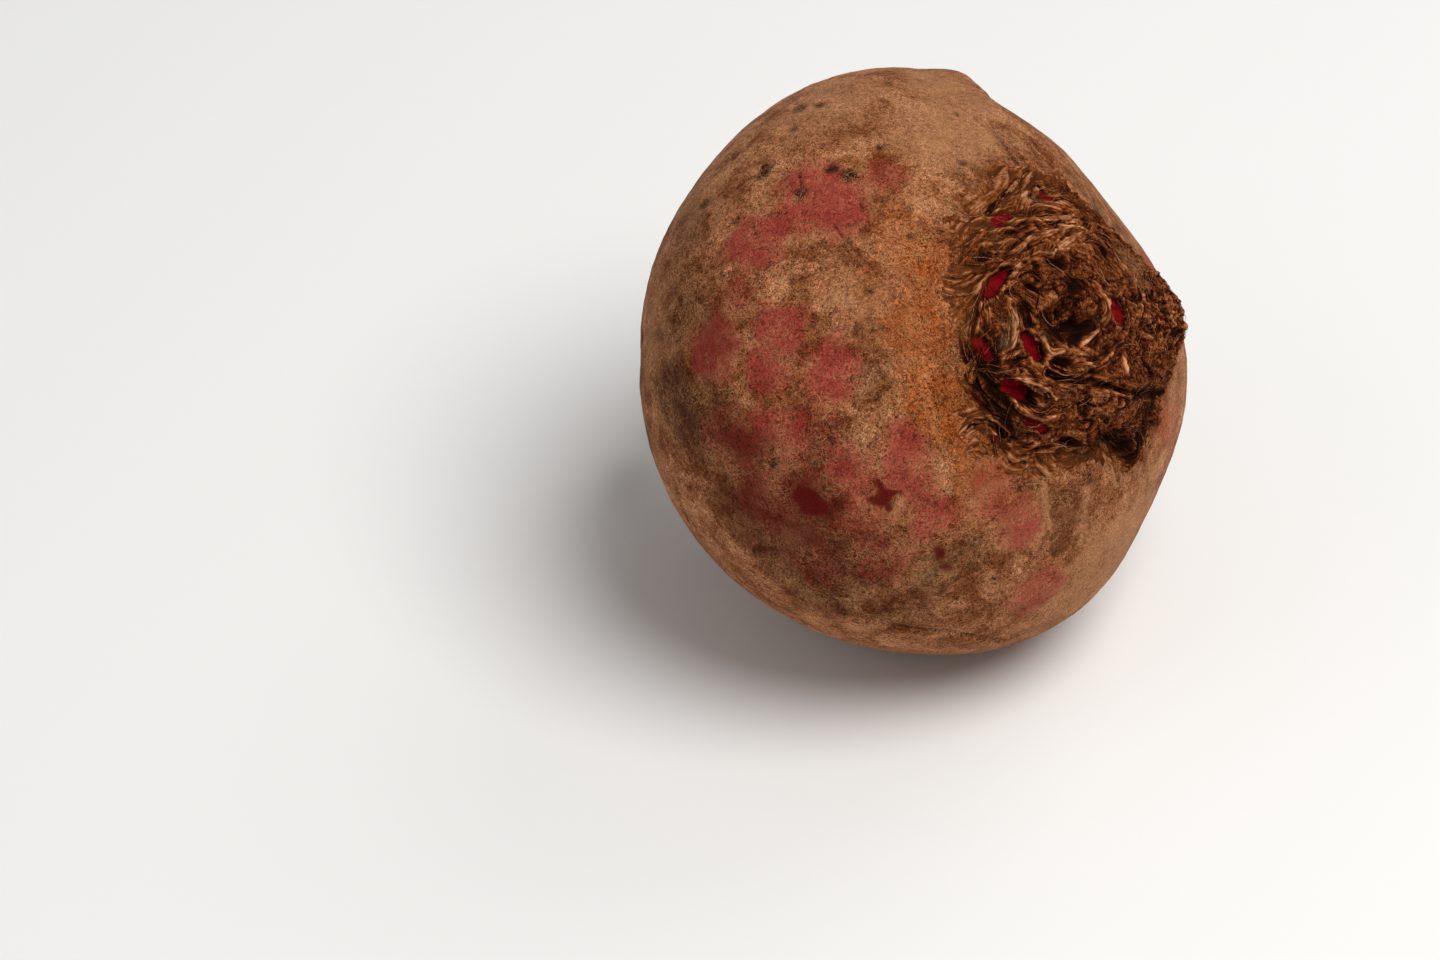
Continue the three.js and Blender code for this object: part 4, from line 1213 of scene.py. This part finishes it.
def strand_mesh(look):
    """Loose fibres that lie along the run of the stalks, some with an end in the air."""
    rng = np.random.default_rng(RANDOM_SEED + 2)
    run_x, run_y = fibre_run()
    turn = rng.uniform(0.0, 2.0 * math.pi, look.strands)
    reach = np.sqrt(rng.uniform(0.0, 1.0, look.strands)) * 0.98 * edge_radius(np.degrees(turn))
    x, y = CROWN_MIDDLE[0] + reach * np.cos(turn), CROWN_MIDDLE[1] + reach * np.sin(turn)
    outside = np.hypot(x - EYES[0].at[0], y - EYES[0].at[1]) > EYES[0].inner
    x, y = x[outside], y[outside]
    count = len(x)
    drift, bend = rng.normal(0.0, 0.22, count), rng.normal(0.0, 0.03, count)
    step = STRAND_STEP * rng.uniform(0.4, 1.0, count)
    places = []
    for n in range(STRAND_POINTS):
        places.append((x.copy(), y.copy()))
        heading = np.arctan2(read_field(run_y, x, y), read_field(run_x, x, y)) + drift + bend * n
        x += step * np.cos(heading)
        y += step * np.sin(heading)
    xs, ys = np.transpose(places, (1, 2, 0))
    share = np.linspace(-1.0, 1.0, STRAND_POINTS)
    lift = 0.05 + np.abs(rng.normal(0.0, 0.14, count))[:, None] * np.abs(share) ** 3
    ground = read_field(crown_map()["height"], xs, ys)
    level = np.maximum(ground, 0.0) * 0.5 + 0.5 * ground.max(axis=1, keepdims=True) + lift - 0.1
    width = rng.uniform(0.02, 0.06, count)[:, None] * (1.02 - np.abs(share) ** 3)
    tone = np.clip(rng.normal(0.46, 0.24, count), 0.05, 1.0)[:, None] + 0.0 * share
    blank = np.zeros_like(tone)
    fields = {name: blank for name in ("crimson", "fringe", "combed", *COMB_FIELDS)}
    fields |= {"tone": tone, "dusty": blank + 0.3}
    return tubes(crown_points(xs, ys, np.minimum(level, ground + 0.9)), width, 4, fields)


def rootlet_mesh(look):
    """Dried side roots in the two furrows, and finer ones round the nose and tail."""
    rng = np.random.default_rng(RANDOM_SEED + 3)
    thick, count = look.rootlets, look.rootlets + look.hairs
    furrow = np.array([line[rng.integers(2, len(line))] for line in
                       (ROOT_FURROWS[n % 2] for n in range(thick))])
    polar = np.append(furrow[:, 0] + rng.uniform(-6.0, 8.0, thick),
                      rng.uniform(143.0, 174.0, look.hairs))
    around = np.append(furrow[:, 1] + rng.uniform(-12.0, 12.0, thick), rng.uniform(0, 360, look.hairs))
    heading, pace = rng.uniform(-1.2, 1.2, count), rng.uniform(0.5, 1.0, count)
    lift = np.abs(rng.normal(0.0, 0.5, count))
    paths = []
    for n in range(ROOTLET_POINTS):
        paths.append(skin_points(direction(polar, around), 0.08 + lift * (n / ROOTLET_POINTS) ** 2))
        slow_down = pace * np.where(polar > NOSE_END - 8.0, 0.6, 1.0)
        polar = np.minimum(polar + 0.9 * slow_down * np.cos(heading), 178.0)
        around = around + 1.1 * slow_down * np.sin(heading) / np.sin(np.radians(polar))
        heading = heading + rng.normal(0.0, 0.3, count)
    base = np.append(rng.uniform(0.12, 0.35, thick), rng.uniform(0.06, 0.16, look.hairs))
    width = base[:, None] * (1.05 - np.linspace(0.0, 1.0, ROOTLET_POINTS))
    blank = np.zeros_like(width)
    fields = {name: blank for name in (*SKIN_MARKS, "pit")} | {"dark": blank + 0.6, "pale": blank + 0.3}
    return tubes(np.stack(paths, axis=1), width, 6, fields)


# What the user can change

class BeetSkinLook(bpy.types.PropertyGroup):
    detail: IntProperty(name="Detail", description="Cells along each side of the skin's six grids",
                        default=126, min=16, max=128)
    pits: IntProperty(name="Pits", description="Small pits strewn over the skin", default=90, min=0)
    mottle_size: length("Mottle", 5.0, "Width of the light and dark mottling")
    grain_size: length("Grain", 0.9, "Width of one grain of the cork")
    felt_size: length("Felt", 0.45, "Width of the finest light and dark of the cork")
    felt_dark: FloatProperty(name="Felt dark", description="How dark the gaps of the felt are",
                             default=0.42, min=0.0, max=1.0)
    felt_light: FloatProperty(name="Felt light", description="How bright the felt's threads are",
                              default=1.7, min=1.0, max=2.5)
    fleck_size: length("Flecks", 1.6, "Spacing of the pale flecks")
    grain_height: length("Grain height", 0.16, "Height of the cork's grain")
    # This tint also paints the shade low on the side towards the camera.
    dark: colour("Dark", "#300d02", "Damp dark skin")
    brown: colour("Brown", "#421804", "Darkest ground colour")
    russet: colour("Russet", "#6d381a", "Middle ground colour")
    tan: colour("Tan", "#9b6443", "Light ground colour")
    straw: colour("Straw", "#b7835f", "Lightest ground colour")
    pale: colour("Pale", "#a3704d", "Thin dry skin with little soil on it")
    orange: colour("Orange", "#8b451b", "Skin round the crown")
    film: colour("Film", "#62351a", "Film of old fibres round the crown")
    rose: colour("Rose", "#973831", "Living layer that shows through")
    crimson: colour("Crimson", "#560707", "Deep red spots")
    stain: colour("Stain", "#3f2810", "Olive brown stains")
    dust: colour("Dust", "#cda683", "Dust of dry cork that brightens the rim")
    pit: colour("Pit", "#241006", "Soil left in pits and cracks")
    fleck: colour("Fleck", "#bd8d5c", "Pale flecks of cork")
    # Also the colour of the painted shadows beside the pale threads.
    speck_and_thread_shadow: colour("Speck", "#2e1608", "Dark specks")


class BeetCrownLook(bpy.types.PropertyGroup):
    detail: IntProperty(name="Detail", description="Cells along each side of the crown's grid",
                        default=300, min=20, max=312)
    scraps: IntProperty(name="Scraps", description="Small torn husks", default=70, min=0)
    strands: IntProperty(name="Strands", description="Loose fibres", default=900, min=1)
    grain_size: length("Grain", 0.4, "Width of the finest crumbs")
    grain_height: length("Grain height", 0.18, "Height of the finest fibres and crumbs")
    fibre_width: length("Fibre width", 0.3, "From one of the finest fibres to the next")
    fibre_length: length("Fibre length", 2.6, "Length of the finest fibres")
    # The deep colour is painted shade: the tone reaches it in hollows.
    deep: colour("Deep", "#1b0903", "Damp hollows")
    umber: colour("Umber", "#361505", "Shaded fibres")
    brown: colour("Brown", "#663113", "Most of the fibres")
    tan: colour("Tan", "#955832", "Raised fibres")
    straw: colour("Straw", "#bf8863", "Torn edges")
    dust: colour("Dust", "#7f6146", "Dust on weathered fibres")
    crimson: colour("Crimson", "#7c0510", "Living tissue in the gaps")
    fringe: colour("Fringe", "#74401d", "Film of fibres at the edge")


class BeetTailLook(bpy.types.PropertyGroup):
    rootlets: IntProperty(name="Rootlets", description="Short dried side roots", default=30, min=1)
    hairs: IntProperty(name="Root hairs", description="Fine roots round the tail", default=90, min=0)


class BeetStageLook(bpy.types.PropertyGroup):
    floor: colour("Floor", "#f4f3f0", "Pale floor")
    sky: colour("Surround", "#f3f4f6", "Pale surround that fills the shadows")
    surround: FloatProperty(name="Surround strength", description="Light from all round",
                            default=0.3, min=0.0)
    distance: FloatProperty(name="Camera distance", description="From the middle of the root",
                            default=0.9, min=0.2, unit="LENGTH", subtype="DISTANCE")
    lens: FloatProperty(name="Lens", description="Focal length in millimetres", default=150.0,
                        min=20.0, unit="CAMERA")


# Operators

class BEET_OT_skin(bpy.types.Operator):
    """Make the root's skin from crown to tail"""

    bl_idname = "beet.skin"
    bl_label = "Root skin"

    def execute(self, context):
        look = context.scene.beet_skin
        make_piece("root_skin", skin_mesh(look), skin_material(look), ["root"])
        return {"FINISHED"}


class BEET_OT_crown(bpy.types.Operator):
    """Make the withered crown: the mass of leaf bases, its torn husks and loose fibres"""

    bl_idname = "beet.crown"
    bl_label = "Withered crown"

    def execute(self, context):
        look = context.scene.beet_crown
        material = stalk_material(look)
        make_piece("crown_mat", mat_mesh(look), material, ["leaf_bases"])
        make_piece("torn_husks", husk_mesh(look), material, ["leaf_bases"])
        make_piece("loose_fibres", strand_mesh(look), material)
        return {"FINISHED"}


class BEET_OT_rootlets(bpy.types.Operator):
    """Make the dried side roots of the tail"""

    bl_idname = "beet.rootlets"
    bl_label = "Rootlets"

    def execute(self, context):
        skin = bpy.data.objects.get("root_skin")
        if skin is None:
            raise RuntimeError("the rootlets share the skin's material: make the root skin first")
        mesh = rootlet_mesh(context.scene.beet_tail)
        make_piece("rootlets", mesh, skin.data.materials[0])
        return {"FINISHED"}


def seen_from(turn, rise):
    """Unit vector from the root towards a turn and rise in the frame's axes; turn 0 is -Y."""
    a, e = math.radians(turn), math.radians(rise)
    return Vector((math.sin(a) * math.cos(e), -math.cos(a) * math.cos(e), math.sin(e)))


def aimed(thing, location, target):
    """Puts a camera or light at a place, looking at a target."""
    thing.location = location
    thing.rotation_euler = (target - location).to_track_quat("-Z", "Y").to_euler()
    bpy.context.scene.collection.objects.link(thing)
    return thing


class BEET_OT_stage(bpy.types.Operator):
    """Make the floor, the lights and the camera"""

    bl_idname = "beet.stage"
    bl_label = "Stage"

    def execute(self, context):
        look = context.scene.beet_stage
        scene = context.scene
        scene.view_settings.view_transform = "Standard"
        board, _, _ = new_material("matt_painted_board", {
            "Base Color": rgba(look.floor), "Roughness": 0.9, "Specular IOR Level": 0.1})
        half = FLOOR_SIZE / 2
        data = bpy.data.meshes.new("floor")
        data.from_pydata([(-half, -half, 0), (half, -half, 0), (half, half, 0), (-half, half, 0)],
                         [], [(0, 1, 2, 3)])
        data.materials.append(board)
        floor = bpy.data.objects.new("floor", data)
        scene.collection.objects.link(floor)

        world = bpy.data.worlds.new("pale_surround")
        world.use_nodes = True
        background = world.node_tree.nodes["Background"]
        background.inputs["Color"].default_value = rgba(look.sky)
        background.inputs["Strength"].default_value = look.surround
        scene.world = world

        middle = Vector(to_row(np.zeros((1, 3)))[0])
        for name, turn, rise, distance, size, power in LIGHTS:
            lamp = bpy.data.lights.new(name, "AREA")
            lamp.shape = "DISK"
            lamp.size = size
            lamp.energy = power
            aimed(bpy.data.objects.new(name, lamp), middle + distance * seen_from(turn, rise), middle)

        lens = bpy.data.cameras.new("camera")
        lens.lens = look.lens
        lens.sensor_width = SENSOR
        back = seen_from(CAMERA_TURN, CAMERA_RISE)
        right = seen_from(CAMERA_TURN + 90.0, 0.0)
        up = back.cross(right)
        pixel = look.distance * SENSOR / look.lens / FRAME_WIDTH
        aim = (middle + right * (FRAME_MIDDLE[0] - ROOT_PIXEL[0]) * pixel
               + up * (ROOT_PIXEL[1] - FRAME_MIDDLE[1]) * pixel)
        camera = bpy.data.objects.new("camera", lens)
        camera.location = middle + back * look.distance
        away = (camera.location - aim).normalized()
        side = up.cross(away).normalized()
        camera.rotation_euler = Matrix((side, away.cross(side), away)).transposed().to_euler()
        scene.collection.objects.link(camera)
        scene.camera = camera
        return {"FINISHED"}


class BEET_PT_panel(bpy.types.Panel):
    """Lists the steps that dress the beetroot"""

    bl_label = "Beetroot"
    bl_idname = "BEET_PT_panel"
    bl_space_type = "VIEW_3D"
    bl_region_type = "UI"
    bl_category = "Beetroot"

    def draw(self, context):
        for group, steps in PANEL_GROUPS:
            box = self.layout.box()
            look = getattr(context.scene, group)
            for name in look.__annotations__:
                box.prop(look, name)
            for step in steps:
                box.operator(step.bl_idname)


LOOKS = {
    "beet_skin": BeetSkinLook,
    "beet_crown": BeetCrownLook,
    "beet_tail": BeetTailLook,
    "beet_stage": BeetStageLook,
}
PANEL_GROUPS = (
    ("beet_skin", (BEET_OT_skin,)),
    ("beet_crown", (BEET_OT_crown,)),
    ("beet_tail", (BEET_OT_rootlets,)),
    ("beet_stage", (BEET_OT_stage,)),
)
OPERATORS = tuple(step for _, steps in PANEL_GROUPS for step in steps)


def register():
    """Adds the settings, steps and panel to Blender."""
    for cls in (*LOOKS.values(), *OPERATORS, BEET_PT_panel):
        bpy.utils.register_class(cls)
    for name, cls in LOOKS.items():
        setattr(bpy.types.Scene, name, PointerProperty(type=cls))


def unregister():
    """Takes them out again."""
    for name in LOOKS:
        delattr(bpy.types.Scene, name)
    for cls in (BEET_PT_panel, *OPERATORS, *LOOKS.values()):
        bpy.utils.unregister_class(cls)


def main():
    """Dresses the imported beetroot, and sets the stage."""
    register()
    for step in OPERATORS:
        group, action = step.bl_idname.split(".")
        getattr(getattr(bpy.ops, group), action)()


if __name__ == "__main__":
    main()
